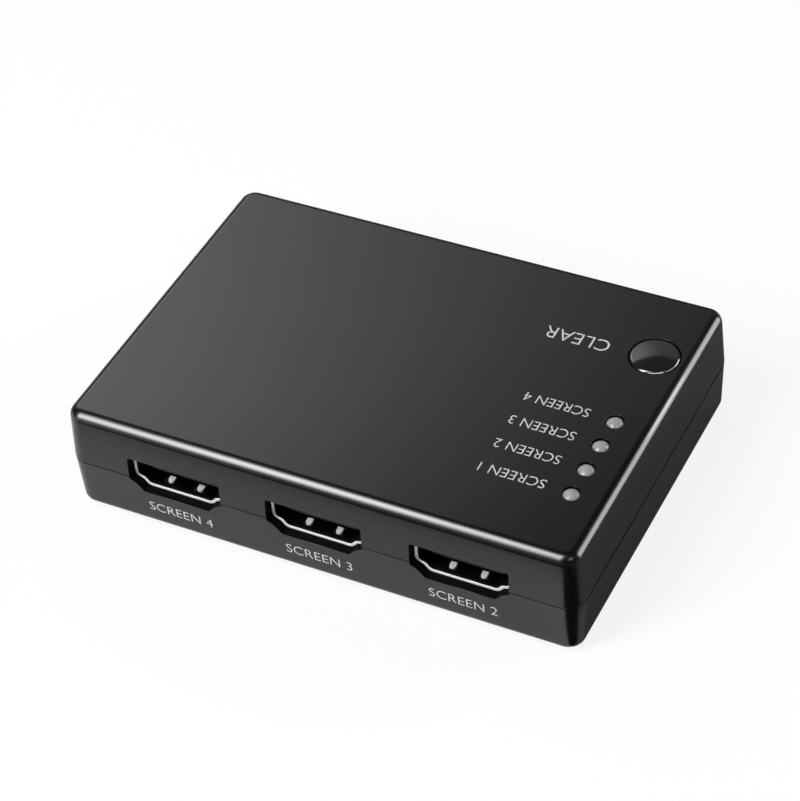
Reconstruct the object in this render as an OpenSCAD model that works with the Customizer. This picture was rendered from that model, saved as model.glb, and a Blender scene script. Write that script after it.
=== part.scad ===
// Four-way video splitter: a small moulded box with five video sockets, a power jack,
// four lamps and a reset button. Millimetres, +Z up, origin under the middle of the feet.
// The front, with three sockets, faces -Y.

/* [Housing] */
// Width of the case at the parting line
case_w = 84; // [80:1:110]
// Depth of the case at the parting line
case_d = 59; // [57:1:80]
// Height of the case without its feet
case_h = 18.7; // [17.5:0.1:26]
// Height of the parting line above the case's underside
seam_h = 9.25; // [8.6:0.05:10.4]
// Thickness of the side walls
wall = 1.4; // [1.2:0.1:1.8]
// Thickness of the top and of the floor
plate = 1.6; // [1.4:0.1:2.2]
// Radius of the upright corners
corner_r = 3; // [2.4:0.1:5]
// Radius along the top edges
top_edge_r = 1.6; // [0.8:0.1:2]
// Radius along the bottom edges
bottom_edge_r = 1.5; // [0.8:0.1:2]
// Lean of the cover's walls in degrees
cover_draft = 3.2; // [1:0.1:4]
// Lean of the base's walls in degrees
base_draft = 2.4; // [1:0.1:4]
// How far the base stands back from the cover at the parting line
seam_step = 0.04; // [0:0.02:0.3]
// Width of the open line between cover and base
seam_gap = 0.2; // [0.05:0.05:0.3]

/* [Lip] */
// Height of the base's lip inside the cover
lip_h = 1; // [0.6:0.1:1.5]
// Thickness of the base's lip
lip_t = 0.55; // [0.4:0.05:0.6]
// Thickness of the cover's skirt outside the lip
skirt_t = 0.7; // [0.5:0.05:0.8]
// Room between the lip and the cover
lip_gap = 0.1; // [0.05:0.01:0.2]

/* [Screws and feet] */
// Distance of the screws from the sides of the case
screw_inset = 6; // [5.8:0.1:7]
// Diameter of the screw thread
screw_d = 2.6; // [2.2:0.1:3]
// Length of the screws under their heads
screw_len = 10; // [8:0.5:12]
// Diameter of the screw heads
head_d = 4.6; // [4:0.1:5]
// Height of the screw heads
head_h = 1.6; // [1.2:0.1:1.8]
// Depth of the screw heads' seats in the base
head_seat = 2.4; // [2:0.1:3]
// Room round the screw heads
head_gap = 0.3; // [0.2:0.05:0.5]
// Wall of the base's bosses outside the head's recess
base_boss_wall = 0.9; // [0.7:0.1:1.1]
// Wall of the cover's bosses round the thread
cover_boss_wall = 1.5; // [1.2:0.1:1.8]
// Room round the screws in the base and the board
screw_gap = 0.25; // [0.15:0.05:0.4]
// Room round the thread in the cover's bosses
thread_gap = 0.03; // [0.01:0.01:0.05]
// Diameter of the feet
foot_d = 8; // [6:0.5:10]
// How far the feet stand below the case
foot_proud = 0.5; // [0.3:0.1:2]
// How deep the feet sit in the base
foot_sink = 0.5; // [0.3:0.1:0.8]
// Room round each foot in its recess
foot_gap = 0.15; // [0.05:0.05:0.3]
// Distance of the feet from the left and right sides
foot_inset_x = 9; // [8:0.5:14]
// Distance of the feet from the front and rear
foot_inset_y = 15; // [14.5:0.5:20]

/* [Board] */
// Height of the board's underside above the case's underside
board_lift = 5.7; // [5.4:0.1:6.2]
// Thickness of the board
board_t = 1.6; // [1:0.1:2]
// Room between the board's edge and the case walls
board_gap = 0.45; // [0.3:0.05:0.8]
// Room round legs and leads in the board's holes
lead_gap = 0.15; // [0.1:0.05:0.25]
// How far legs and leads stand out under the board
lead_proud = 0.8; // [0.5:0.1:1.5]

/* [Video sockets] */
// Distance between neighbouring sockets that have their room at the sides
socket_pitch = 23.4; // [21:0.1:24]
// Room from the middle of an outer socket to the side of the case
socket_side = 18.6; // [17:0.1:22]
// Width of a socket's opening
socket_w = 14; // [13.6:0.05:14.6]
// Height of a socket's opening
socket_h = 4.55; // [4.3:0.05:5]
// Width of the flat part of a socket's floor
socket_floor_w = 9.5; // [8.8:0.1:9.8]
// Length of a socket's shell
socket_len = 10.8; // [9.5:0.1:11.5]
// Thickness of the shell's sheet metal
sheet = 0.35; // [0.25:0.05:0.45]
// How far the shell's mouth flares out
mouth_flare = 0.2; // [0.1:0.05:0.3]
// Length of the flared mouth
mouth_len = 0.3; // [0.2:0.05:0.4]
// Distance of the mouth behind the case wall
mouth_gap = 0.3; // [0.2:0.05:0.6]
// Room between the shell and the sides of the cut-out
cut_gap = 0.85; // [0.7:0.05:1]
// Room over the socket's ceiling in the cut-out
cut_over = 0.65; // [0.6:0.05:1]
// Room under the socket's floor in the cut-out
cut_under = 0.87; // [0.7:0.01:1]
// Distance of the tongue behind the mouth
tongue_back = 1.5; // [1:0.1:2.5]
// Width of the tongue
tongue_w = 11.2; // [10.6:0.1:12]
// Thickness of the tongue
tongue_t = 1.2; // [0.9:0.05:1.4]
// Height of the tongue above the socket's floor
tongue_lift = 1.35; // [1.2:0.05:1.6]
// Length of the insulator's block at the rear of the shell
block_len = 4; // [3:0.1:5]
// Room between the insulator and the shell
block_gap = 0.04; // [0.01:0.01:0.08]
// Distance between the springs in a socket's floor
spring_pitch = 5; // [4:0.1:6]
// Width of a floor spring
spring_w = 0.95; // [0.7:0.05:1.2]
// Length of a floor spring
spring_len = 3.6; // [3:0.1:4.2]
// Rise of a floor spring above the floor
spring_rise = 0.3; // [0.1:0.05:0.4]
// Distance of the floor springs' tips behind the mouth
spring_back = 1; // [0.8:0.1:1.4]
// Slot round a floor spring
spring_slot = 0.3; // [0.2:0.05:0.4]
// Distance between contacts in one row
contact_pitch = 1; // [0.9:0.05:1.1]
// Width of a contact
contact_w = 0.36; // [0.25:0.01:0.4]
// Thickness of a contact
contact_t = 0.15; // [0.1:0.01:0.2]
// How far a contact stands out of the tongue
contact_proud = 0.05; // [0.02:0.01:0.08]
// Room round a contact in the insulator
contact_gap = 0.01; // [0.005:0.005:0.02]
// Length of a contact's foot on the board
contact_foot = 1.2; // [0.8:0.1:1.5]

/* [Power jack] */
// Width of the jack's body
jack_w = 7; // [6.4:0.1:8]
// Length of the jack's body
jack_len = 9.5; // [8.5:0.1:11]
// Height of the jack's axis above the board
jack_axis = 3.4; // [3.2:0.1:3.8]
// Diameter of the jack's nose in the case wall
jack_nose_d = 5.6; // [5.2:0.1:6]
// How far the nose stands out of the jack's body
jack_nose = 1.2; // [0.8:0.1:1.5]
// Room round the nose in the case wall
nose_gap = 0.25; // [0.15:0.05:0.4]
// Diameter of the jack's hole
jack_bore_d = 4; // [3.8:0.05:4.4]
// Depth of the jack's hole from the nose
jack_depth = 9; // [8:0.1:9.5]
// Diameter of the centre pin
jack_pin_d = 1.3; // [1.2:0.05:1.7]
// Distance of the centre pin's tip behind the nose's face
jack_pin_back = 0.6; // [0.3:0.1:1.5]
// Diameter of the centre pin's root inside the body
jack_root_d = 2; // [1.8:0.05:2.4]
// Room round the centre pin's root in the body
jack_pin_gap = 0.02; // [0.01:0.01:0.05]
// Width of the jack's side spring
jack_spring_w = 1.4; // [1:0.1:1.8]
// Thickness of the jack's metal strips
jack_strip = 0.3; // [0.2:0.05:0.4]

/* [Button and switch] */
// Diameter of the button's cap
button_d = 7.75; // [6.5:0.05:8.5]
// Room round the cap in the cover
button_gap = 0.18; // [0.1:0.01:0.25]
// How far the cap's middle stands above the cover
button_proud = 0.4; // [0.3:0.05:1.2]
// Rise of the cap's dome from its edge to its middle
button_crown = 0.2; // [0.05:0.05:0.3]
// Radius round the cap's edge
button_edge_r = 0.55; // [0.2:0.05:0.6]
// Press travel of the button
button_travel = 0.3; // [0.2:0.05:0.5]
// Distance of the button and the lamps from the right side of the case
button_inset = 6.5; // [6.4:0.1:9]
// Distance of the button from the rear of the case
button_rear = 14.7; // [14.5:0.1:17]
// Depth of the guide collar under the cover
collar_h = 1.3; // [1:0.1:2]
// Wall of the guide collar
collar_wall = 0.8; // [0.6:0.1:1]
// Reach of the button's two stops past its cap
stop_reach = 1.1; // [0.8:0.1:1.3]
// Width of the button's stops
stop_w = 5; // [3:0.1:6]
// Thickness of the button's stops
stop_t = 0.8; // [0.6:0.1:1.2]
// Room over the button's stops at rest
stop_gap = 0.1; // [0.05:0.05:0.2]
// Diameter of the button's stem
stem_d = 4; // [3:0.1:5]
// Width of the switch's body
switch_w = 6; // [5.6:0.1:6.4]
// Height of the switch's body
switch_h = 3.4; // [3:0.1:4]
// Thickness of the switch's metal cover
switch_cover_t = 0.3; // [0.2:0.05:0.4]
// Diameter of the well in the switch's body
well_d = 4.8; // [4.6:0.1:5]
// Diameter of the plunger's stem
plunger_d = 3.4; // [3:0.1:3.6]
// Height of the plunger above the switch's metal cover
plunger_proud = 1.3; // [0.8:0.1:2]
// Diameter of the plunger's collar
plunger_collar_d = 4.4; // [4.1:0.1:4.5]
// Thickness of the plunger's collar
plunger_collar_t = 0.7; // [0.5:0.1:0.8]
// Room round the plunger in the metal cover
plunger_gap = 0.06; // [0.03:0.01:0.1]
// Diameter of the snap dome
dome_d = 4.2; // [3.8:0.1:4.4]
// Thickness of the snap dome's sheet
dome_t = 0.12; // [0.08:0.01:0.2]
// Height that the snap dome keeps when pressed
dome_low = 0.6; // [0.4:0.05:0.8]
// Thickness of the switch's legs
switch_leg_t = 0.3; // [0.2:0.05:0.4]
// Width of the switch's legs
switch_leg_w = 0.7; // [0.5:0.05:0.9]

/* [Lamps] */
// Diameter of a lamp's lens
led_d = 2.7; // [2.4:0.05:3]
// Room round a lens in the cover
led_gap = 0.08; // [0.04:0.01:0.15]
// How far a lens stands above the cover
led_proud = 0.2; // [0.1:0.05:0.8]
// Rise of a lens's dome
led_crown = 0.55; // [0.2:0.05:0.8]
// Length of a lens
led_len = 4.2; // [4:0.1:6]
// Width of the rim at the foot of a lens
led_rim = 0.3; // [0.2:0.05:0.4]
// Height of the rim at the foot of a lens
led_rim_h = 0.8; // [0.5:0.1:1]
// Distance of the first lamp from the front of the case
led_front = 13; // [12:0.1:15]
// Distance between neighbouring lamps
led_pitch = 5.33; // [4.8:0.01:5.8]
// Thickness of a lamp's square leads
led_lead = 0.5; // [0.4:0.05:0.6]
// Distance between the two leads of a lamp
led_lead_pitch = 1.6; // [1.3:0.1:2]
// Depth of the collars round the lenses under the cover
led_collar_h = 1; // [0.5:0.1:1.5]

/* [Board parts] */
// Width of the splitter chip
chip_w = 10; // [8:0.5:12]
// Height of the splitter chip
chip_h = 1.4; // [1:0.1:1.6]
// Leads on each side of the splitter chip
chip_leads_a_side = 16; // [8:1:18]
// Distance between leads of the splitter chip
chip_pitch = 0.5; // [0.4:0.05:0.5]
// Diameter of the electrolytic capacitors
can_d = 6.3; // [5:0.1:6.6]
// Height of the electrolytic capacitors
can_h = 5.4; // [4:0.1:7]
// Length of the crystal's can
crystal_len = 11; // [9:0.1:12]
// Width of the crystal's can
crystal_w = 4.4; // [3.6:0.1:5]
// Height of the crystal's can
crystal_h = 3.5; // [2.5:0.1:4.5]
// Width of the power inductor
inductor_w = 5.4; // [4:0.1:6]
// Height of the power inductor
inductor_h = 3; // [2:0.1:4]

/* [Hidden] */
$fn = 64;

// Levels, from the feet up
z_case = foot_proud;
z_floor = z_case + plate;
z_seat = z_case + head_seat;
z_board = z_case + board_lift;
z_deck = z_board + board_t;
z_seam = z_case + seam_h;
z_top = z_case + case_h;
z_ceiling = z_top - plate;

// Overlap that joins two shapes of one piece, and overshoot of a cut
join = 0.2;
over = 1;
// Segments of a rounded edge and of an upright corner
edge_n = 6;
corner_n = 8;
// Inner rounding under the cover's top and over the base's floor
inner_r = 0.5;
// Least radius of an upright corner
least_r = 0.2;

// How far the walls have leaned in at a height
function cover_in(z) = tan(cover_draft) * (z - z_seam);
function base_in(z) = seam_step + tan(base_draft) * (z_seam - z);

// Points of a circular arc
function arc(c, r, a0, a1, n) = [
    for (i = [0:n]) let (a = a0 + (a1 - a0) * i / n) c + r * [cos(a), sin(a)]
];

// One level of the case's outline, drawn in by an inset
function level(inset, z) =
    let (r = max(least_r, corner_r - inset), x = case_w / 2 - inset - r, y = case_d / 2 - inset - r)
    [
        for (q = [[x, y, 0], [-x, y, 90], [-x, -y, 180], [x, -y, 270]])
        for (p = arc([q.x, q.y], r, q.z, q.z + 90, corner_n)) [p.x, p.y, z]
    ];

// Closed form through levels given as [inset, height], from the lowest up
module stacked(levels) {
    n = 4 * (corner_n + 1);
    last = len(levels) - 1;
    sides = [
        for (k = [0:last - 1], j = [0:n - 1]) let (m = (j + 1) % n)
        [k * n + j, (k + 1) * n + j, (k + 1) * n + m, k * n + m]
    ];
    floor_face = [for (j = [0:n - 1]) j];
    top_face = [for (j = [n - 1:-1:0]) last * n + j];
    polyhedron([for (v = levels) each level(v[0], v[1])], concat([floor_face], sides, [top_face]));
}

// Plan of the case at the parting line, drawn in by an inset
module plan(inset) {
    r = max(least_r, corner_r - inset);
    w = case_w - 2 * inset;
    d = case_d - 2 * inset;
    square([w, d - 2 * r], center = true);
    square([w - 2 * r, d], center = true);
    for (x = [-1, 1], y = [-1, 1])
        translate([x * (w / 2 - r), y * (d / 2 - r)])
            circle(r);
}

// Flat outline drawn in x and z, carried along y from y0 to y1
module along_y(y0, y1) {
    translate([0, y1, 0])
        rotate([90, 0, 0])
            linear_extrude(y1 - y0)
                children();
}

// Flat outline drawn in y and z, carried along x, centred
module across_x(w) {
    translate([-w / 2, 0, 0])
        rotate([90, 0, 90])
            linear_extrude(w)
                children();
}

// Box from corner to corner
module block(low, high) {
    translate(low)
        cube(high - low);
}

// Places
screw_x = case_w / 2 - screw_inset;
screw_y = case_d / 2 - screw_inset;
foot_x = case_w / 2 - foot_inset_x;
foot_y = case_d / 2 - foot_inset_y;
mouth_y = case_d / 2 - wall - mouth_gap;
// An outer socket stands midway between the places that its pitch and its room to the side give it
socket_x = (socket_pitch + case_w / 2 - socket_side) / 2;
button_x = case_w / 2 - button_inset;
button_y = case_d / 2 - button_rear;
function led_y(i) = -case_d / 2 + led_front + (i - 1) * led_pitch;

module at_screws() {
    for (x = [-screw_x, screw_x], y = [-screw_y, screw_y])
        translate([x, y, 0])
            children();
}

module at_feet() {
    for (x = [-foot_x, foot_x], y = [-foot_y, foot_y])
        translate([x, y, 0])
            children();
}

// A socket's own frame: origin on the board under the middle of its mouth, +Y into the case
module at_front(slot) {
    translate([slot * socket_x, -mouth_y, z_deck])
        children();
}

module at_rear(slot) {
    translate([slot * socket_x, mouth_y, z_deck])
        rotate(180)
            children();
}

// Sockets: outputs 4, 3 and 2 along the front, output 1 and the input at the rear
module at_sockets() {
    for (slot = [-1, 0, 1])
        at_front(slot)
            children();
    for (slot = [-1, 0])
        at_rear(slot)
            children();
}

module at_jack() {
    at_rear(1)
        children();
}

module at_button() {
    translate([button_x, button_y, 0])
        children();
}

module at_led(i) {
    translate([button_x, led_y(i), 0])
        children();
}

// Socket opening: a wide upper part, a short ledge, a steep run and a narrower flat floor
ledge_lean = 18;
steep_lean = 50;
steep_len = 0.5;
arc_n = 5;
top_r = 0.5;
side_r = 0.4;
valley_r = 1;
floor_r = 0.8;
floor_c = [socket_floor_w / 2, floor_r];
steep_dir = [sin(steep_lean), -cos(steep_lean)];
ledge_dir = [sin(ledge_lean), -cos(ledge_lean)];
steep_end = floor_c + floor_r * steep_dir + steep_len * [cos(steep_lean), sin(steep_lean)];
valley_c = steep_end + valley_r * steep_dir;
ledge_start = valley_c - valley_r * ledge_dir;
ledge_run = socket_w / 2 - side_r + side_r * ledge_dir.x - ledge_start.x;
side_z = ledge_start.y + ledge_run * tan(ledge_lean) - side_r * ledge_dir.y;
least_valley = 0.05;

// Right half of the opening, from the top corner down, grown outwards by g
function socket_half(g) = concat(
    arc([socket_w / 2 - top_r, socket_h - top_r], top_r + g, 90, 0, arc_n),
    arc([socket_w / 2 - side_r, side_z], side_r + g, 0, ledge_lean - 90, arc_n),
    arc(valley_c, -max(least_valley, valley_r - g), ledge_lean - 90, steep_lean - 90, arc_n),
    arc(floor_c, floor_r + g, steep_lean - 90, -90, arc_n)
);

function both_sides(half) = concat(half, [for (i = [len(half) - 1:-1:0]) [-half[i].x, half[i].y]]);

// Opening outline standing on the board with the sheet under its floor
module opening(g) {
    translate([0, sheet])
        polygon(both_sides(socket_half(g)));
}

// Cut-out in the case for one socket
cut_top_r = 0.45;
cut_side_z = 1.1;
cut_ledge_z = 0.6;
cut_ledge_in = 1;
cut_sill_gap = 0.75;
cut_half_w = socket_w / 2 + cut_gap;
cut_points = concat(
    arc([cut_half_w - cut_top_r, socket_h + cut_over - cut_top_r], cut_top_r, 90, 0, arc_n),
    [
        [cut_half_w, cut_side_z],
        [cut_half_w - cut_ledge_in, cut_ledge_z],
        [socket_floor_w / 2 + cut_sill_gap, -cut_under]
    ]
);
// Depth of the cut from outside the case to behind the wall and lip
cut_out = wall + mouth_gap + over;
cut_in = wall;

module case_cuts() {
    at_sockets()
        along_y(-cut_out, cut_in)
            translate([0, sheet])
                polygon(both_sides(cut_points));
    at_jack()
        along_y(-cut_out, cut_in)
            translate([0, jack_axis])
                circle(jack_nose_d / 2 + nose_gap);
}

// Housing
thread_r = screw_d / 2;
cover_boss_r = thread_r + cover_boss_wall;
head_hole_r = head_d / 2 + head_gap;
base_boss_r = head_hole_r + base_boss_wall;
pilot_over = 1;
pilot_top = z_seat + screw_len + pilot_over;
collar_r = button_d / 2 + button_gap + collar_wall;
led_hole_r = led_d / 2 + led_gap;

module top_cover() {
    z_round = z_top - top_edge_r;
    z_inner = z_ceiling - inner_r;
    outside = concat([[0, z_seam]], [
        for (i = [0:edge_n]) let (a = 90 * i / edge_n, z = z_round + top_edge_r * sin(a))
        [cover_in(z) + top_edge_r * (1 - cos(a)), z]
    ]);
    inside = [
        [wall, z_seam - over],
        [wall, z_seam],
        [wall + cover_in(z_inner), z_inner],
        [wall + cover_in(z_ceiling) + inner_r, z_ceiling]
    ];
    color("#2b2b2d")
        difference() {
            union() {
                difference() {
                    stacked(outside);
                    stacked(inside);
                    translate([0, 0, z_seam - over])
                        linear_extrude(over + lip_h + lip_gap)
                            plan(skirt_t);
                }
                at_screws()
                    translate([0, 0, z_deck])
                        cylinder(r = cover_boss_r, h = z_ceiling + join - z_deck);
                at_button()
                    translate([0, 0, z_ceiling - collar_h])
                        cylinder(r = collar_r, h = collar_h + join);
                for (i = [1:4])
                    at_led(i)
                        translate([0, 0, z_ceiling - led_collar_h])
                            cylinder(r = led_hole_r + collar_wall, h = led_collar_h + join);
            }
            at_screws()
                translate([0, 0, z_deck - over])
                    cylinder(r = thread_r + thread_gap, h = over + pilot_top - z_deck);
            at_button()
                translate([0, 0, z_ceiling - collar_h - over])
                    cylinder(r = button_d / 2 + button_gap, h = collar_h + plate + 2 * over);
            for (i = [1:4])
                at_led(i)
                    translate([0, 0, z_ceiling - led_collar_h - over])
                        cylinder(r = led_hole_r, h = led_collar_h + plate + 2 * over);
            case_cuts();
        }
}

module bottom_cover() {
    z_edge = z_seam - seam_gap;
    z_inner = z_floor + inner_r;
    outside = concat([
        for (i = [0:edge_n]) let (a = 90 * i / edge_n, z = z_case + bottom_edge_r * (1 - cos(a)))
        [base_in(z) + bottom_edge_r * (1 - sin(a)), z]
    ], [[base_in(z_edge), z_edge]]);
    inside = [
        [wall + base_in(z_floor) + inner_r, z_floor],
        [wall + base_in(z_inner), z_inner],
        [wall + base_in(z_edge), z_edge],
        [wall + base_in(z_edge), z_edge + over]
    ];
    lip_inset = skirt_t + lip_gap;
    color("#28282a")
        difference() {
            union() {
                difference() {
                    stacked(outside);
                    stacked(inside);
                }
                translate([0, 0, z_edge - lip_h])
                    linear_extrude(seam_gap + 2 * lip_h)
                        difference() {
                            plan(lip_inset);
                            plan(lip_inset + lip_t);
                        }
                at_screws()
                    translate([0, 0, z_floor - join])
                        cylinder(r = base_boss_r, h = z_board - z_floor + join);
            }
            at_screws() {
                translate([0, 0, z_case - over])
                    cylinder(r = head_hole_r, h = head_seat + over);
                translate([0, 0, z_case])
                    cylinder(r = thread_r + screw_gap, h = board_lift + over);
            }
            at_feet()
                translate([0, 0, z_case - over])
                    cylinder(r = foot_d / 2 + foot_gap, h = foot_sink + over);
            case_cuts();
        }
}

// Pan-head screws with a cross recess, driven up from below
tip_len = 1;
head_round = 0.5;
cross_w = 0.8;
cross_len = 2.6;
cross_deep = 0.8;

module case_screws() {
    head_r = head_d / 2;
    color("#8f9296")
        at_screws()
            translate([0, 0, z_seat])
                difference() {
                    rotate_extrude()
                        polygon([
                            [0, -head_h],
                            [head_r - head_round, -head_h],
                            [head_r, -head_h + head_round],
                            [head_r, 0],
                            [thread_r, 0],
                            [thread_r, screw_len - tip_len],
                            [0, screw_len]
                        ]);
                    for (turn = [0, 90])
                        rotate(turn)
                            block(
                                [-cross_len / 2, -cross_w / 2, -head_h - over],
                                [cross_len / 2, cross_w / 2, -head_h + cross_deep]
                            );
                }
}

module rubber_feet() {
    foot_r = foot_d / 2;
    foot_edge = 0.2;
    color("#161616")
        at_feet()
            rotate_extrude()
                polygon([
                    [0, 0],
                    [foot_r - foot_edge, 0],
                    [foot_r, foot_edge],
                    [foot_r, foot_proud + foot_sink],
                    [0, foot_proud + foot_sink]
                ]);
}

// Printed circuit board on the base's bosses, notched under the sockets' mouths
board_w = case_w - 2 * (base_in(z_board) + wall + board_gap);
board_d = case_d - 2 * (base_in(z_board) + wall + board_gap);
notch_gap = 0.3;

module main_board() {
    color("#1d2321")
        difference() {
            block([-board_w / 2, -board_d / 2, z_board], [board_w / 2, board_d / 2, z_deck]);
            at_screws()
                translate([0, 0, z_board - over])
                    cylinder(r = thread_r + screw_gap, h = board_t + 2 * over);
            at_sockets() {
                block(
                    [-socket_w / 2 - cut_gap, -cut_out, -board_t - over],
                    [socket_w / 2 + cut_gap, mouth_len + notch_gap, over]
                );
                shell_legs(lead_gap);
            }
            at_jack() {
                jack_pin_tail(lead_gap);
                jack_spring_tail(lead_gap);
            }
            at_button()
                translate([0, 0, z_deck])
                    switch_leg_set(lead_gap);
            led_lead_set(lead_gap);
        }
}

// Video socket, in its own frame
leg_w = 1.6;
leg_y = [2.6, 8];
slot_len = spring_len + 2 * spring_slot;
back_gap = 0.4;
back_z = sheet + tongue_lift + tongue_t + contact_proud + back_gap;

// Four legs that go on from the shell's sides through the board, grown by a gap for the holes
module shell_legs(gap) {
    for (side = [-1, 1], y = leg_y)
        block(
            [side * (socket_w + sheet) / 2 - sheet / 2 - gap, y - gap, -board_t - lead_proud - gap],
            [side * (socket_w + sheet) / 2 + sheet / 2 + gap, y + leg_w + gap, sheet + side_z + gap]
        );
}

// Sprung tongue in a socket's floor: round tip to the mouth, held at its rear end
module floor_spring() {
    tip_y = spring_back;
    root_y = spring_back + spring_len + 2 * spring_slot;
    crest_y = spring_back + spring_len / 2;
    intersection() {
        across_x(spring_w)
            polygon([
                [tip_y, 0],
                [crest_y, spring_rise],
                [root_y, 0],
                [root_y, sheet],
                [crest_y, sheet + spring_rise],
                [tip_y, sheet]
            ]);
        linear_extrude(2 * sheet + spring_rise) {
            translate([0, tip_y + spring_w / 2])
                circle(spring_w / 2);
            translate([-spring_w / 2, tip_y + spring_w / 2])
                square([spring_w, spring_len + 2 * spring_slot]);
        }
    }
}

module socket_shell() {
    slot_w = spring_w + 2 * spring_slot;
    color("#d2d4d8") {
        difference() {
            union() {
                along_y(0, socket_len)
                    opening(sheet);
                along_y(0, mouth_len)
                    opening(sheet + mouth_flare);
            }
            along_y(-over, socket_len + over)
                opening(0);
            along_y(-over, mouth_len / 2)
                opening(mouth_flare);
            for (side = [-1, 1])
                translate([side * spring_pitch / 2 - slot_w / 2, spring_back - spring_slot, -over])
                    cube([slot_w, slot_len, over + 2 * sheet]);
        }
        for (side = [-1, 1])
            translate([side * spring_pitch / 2, 0, 0])
                floor_spring();
        along_y(socket_len, socket_len + sheet)
            intersection() {
                opening(sheet);
                translate([-socket_w, back_z])
                    square([2 * socket_w, socket_h]);
            }
        shell_legs(0);
    }
}

// Plastic block in the rear of the shell with the tongue that carries the contacts
tongue_z = sheet + tongue_lift;

module socket_insulator() {
    block_y = socket_len - block_len;
    color("#1b1b1d")
        difference() {
            union() {
                along_y(block_y, socket_len - block_gap)
                    opening(-block_gap);
                block(
                    [-tongue_w / 2, tongue_back, tongue_z],
                    [tongue_w / 2, block_y + join, tongue_z + tongue_t]
                );
            }
            contact_runs(contact_gap);
        }
}

// Straight runs of the contacts: ten over the tongue and nine under it, grown by a gap
contact_back = 0.4;
upper_contacts = [for (i = [-4.5:1:4.5]) i * contact_pitch];
lower_contacts = [for (i = [-4:1:4]) i * contact_pitch];
upper_z = tongue_z + tongue_t + contact_proud - contact_t;
lower_z = tongue_z - contact_proud;

module contact_runs(gap) {
    for (row = [[upper_contacts, upper_z], [lower_contacts, lower_z]], x = row[0])
        block(
            [x - contact_w / 2 - gap, tongue_back + contact_back - gap, row[1] - gap],
            [x + contact_w / 2 + gap, socket_len + 2 * contact_t + gap, row[1] + contact_t + gap]
        );
}

module socket_contacts() {
    color("#c9a24a") {
        contact_runs(0);
        for (row = [[upper_contacts, upper_z], [lower_contacts, lower_z]], x = row[0]) {
            block(
                [x - contact_w / 2, socket_len + contact_t, 0],
                [x + contact_w / 2, socket_len + 2 * contact_t, row[1] + contact_t]
            );
            block(
                [x - contact_w / 2, socket_len + contact_t, 0],
                [x + contact_w / 2, socket_len + 2 * contact_t + contact_foot, contact_t]
            );
        }
    }
}

module output_1_shell() at_rear(-1) socket_shell();
module output_1_insulator() at_rear(-1) socket_insulator();
module output_1_contacts() at_rear(-1) socket_contacts();
module output_2_shell() at_front(1) socket_shell();
module output_2_insulator() at_front(1) socket_insulator();
module output_2_contacts() at_front(1) socket_contacts();
module output_3_shell() at_front(0) socket_shell();
module output_3_insulator() at_front(0) socket_insulator();
module output_3_contacts() at_front(0) socket_contacts();
module output_4_shell() at_front(-1) socket_shell();
module output_4_insulator() at_front(-1) socket_insulator();
module output_4_contacts() at_front(-1) socket_contacts();
module input_shell() at_rear(0) socket_shell();
module input_insulator() at_rear(0) socket_insulator();
module input_contacts() at_rear(0) socket_contacts();

// Power jack, in the same kind of frame
jack_top = 2 * jack_axis;
bore_end = jack_depth - jack_nose;
tail_w = 1.2;
pin_chamfer = 0.2;
// Reach of the side spring along the hole, and how far it stands into the hole
spring_y = [1.2, 6.4];
spring_in = 0.1;
spring_top = jack_axis - jack_bore_d / 2 + spring_in;

// Flat tail of the centre pin behind the body, through the board
module jack_pin_tail(gap) {
    block(
        [-tail_w / 2 - gap, jack_len - gap, -board_t - lead_proud - gap],
        [tail_w / 2 + gap, jack_len + jack_strip + gap, jack_axis + jack_root_d / 2 + gap]
    );
}

// Tail of the side spring under the body, through the board
module jack_spring_tail(gap) {
    block(
        [-tail_w / 2 - gap, spring_y[1] - jack_strip - gap, -board_t - lead_proud - gap],
        [tail_w / 2 + gap, spring_y[1] + gap, spring_top]
    );
}

// Spring strip under the hole, grown by a gap for its slot in the body
module jack_spring_strip(gap) {
    block(
        [-jack_spring_w / 2 - gap, spring_y[0] - gap, spring_top - jack_strip - gap],
        [jack_spring_w / 2 + gap, spring_y[1] + gap, spring_top + gap]
    );
}

module power_jack_body() {
    color("#1a1a1c")
        at_jack()
            difference() {
                union() {
                    block([-jack_w / 2, 0, 0], [jack_w / 2, jack_len, jack_top]);
                    along_y(-jack_nose, join)
                        translate([0, jack_axis])
                            circle(jack_nose_d / 2);
                }
                along_y(-jack_nose - over, bore_end)
                    translate([0, jack_axis])
                        circle(jack_bore_d / 2);
                along_y(0, jack_len + over)
                    translate([0, jack_axis])
                        circle(jack_root_d / 2 + jack_pin_gap);
                jack_spring_strip(lead_gap);
                block(
                    [-tail_w / 2 - lead_gap, spring_y[1] - jack_strip - lead_gap, -over],
                    [tail_w / 2 + lead_gap, spring_y[1] + lead_gap, spring_top]
                );
            }
}

module power_jack_pin() {
    r = jack_pin_d / 2;
    tip = jack_pin_back - jack_nose;
    color("#c8cbd0")
        at_jack() {
            translate([0, 0, jack_axis])
                rotate([-90, 0, 0])
                    rotate_extrude()
                        polygon([
                            [0, tip],
                            [r - pin_chamfer, tip],
                            [r, tip + pin_chamfer],
                            [r, bore_end],
                            [jack_root_d / 2, bore_end],
                            [jack_root_d / 2, jack_len],
                            [jack_strip, jack_len],
                            [jack_strip, jack_len + jack_strip / 2],
                            [0, jack_len + jack_strip / 2]
                        ]);
            jack_pin_tail(0);
        }
}

module power_jack_spring() {
    color("#c8cbd0")
        at_jack() {
            jack_spring_strip(0);
            jack_spring_tail(0);
        }
}

// Button and switch
z_switch_top = z_deck + switch_h;
z_plunger_top = z_switch_top + switch_cover_t + plunger_proud;
z_stop = z_ceiling - collar_h - stop_gap;
dome_n = 6;

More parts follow.
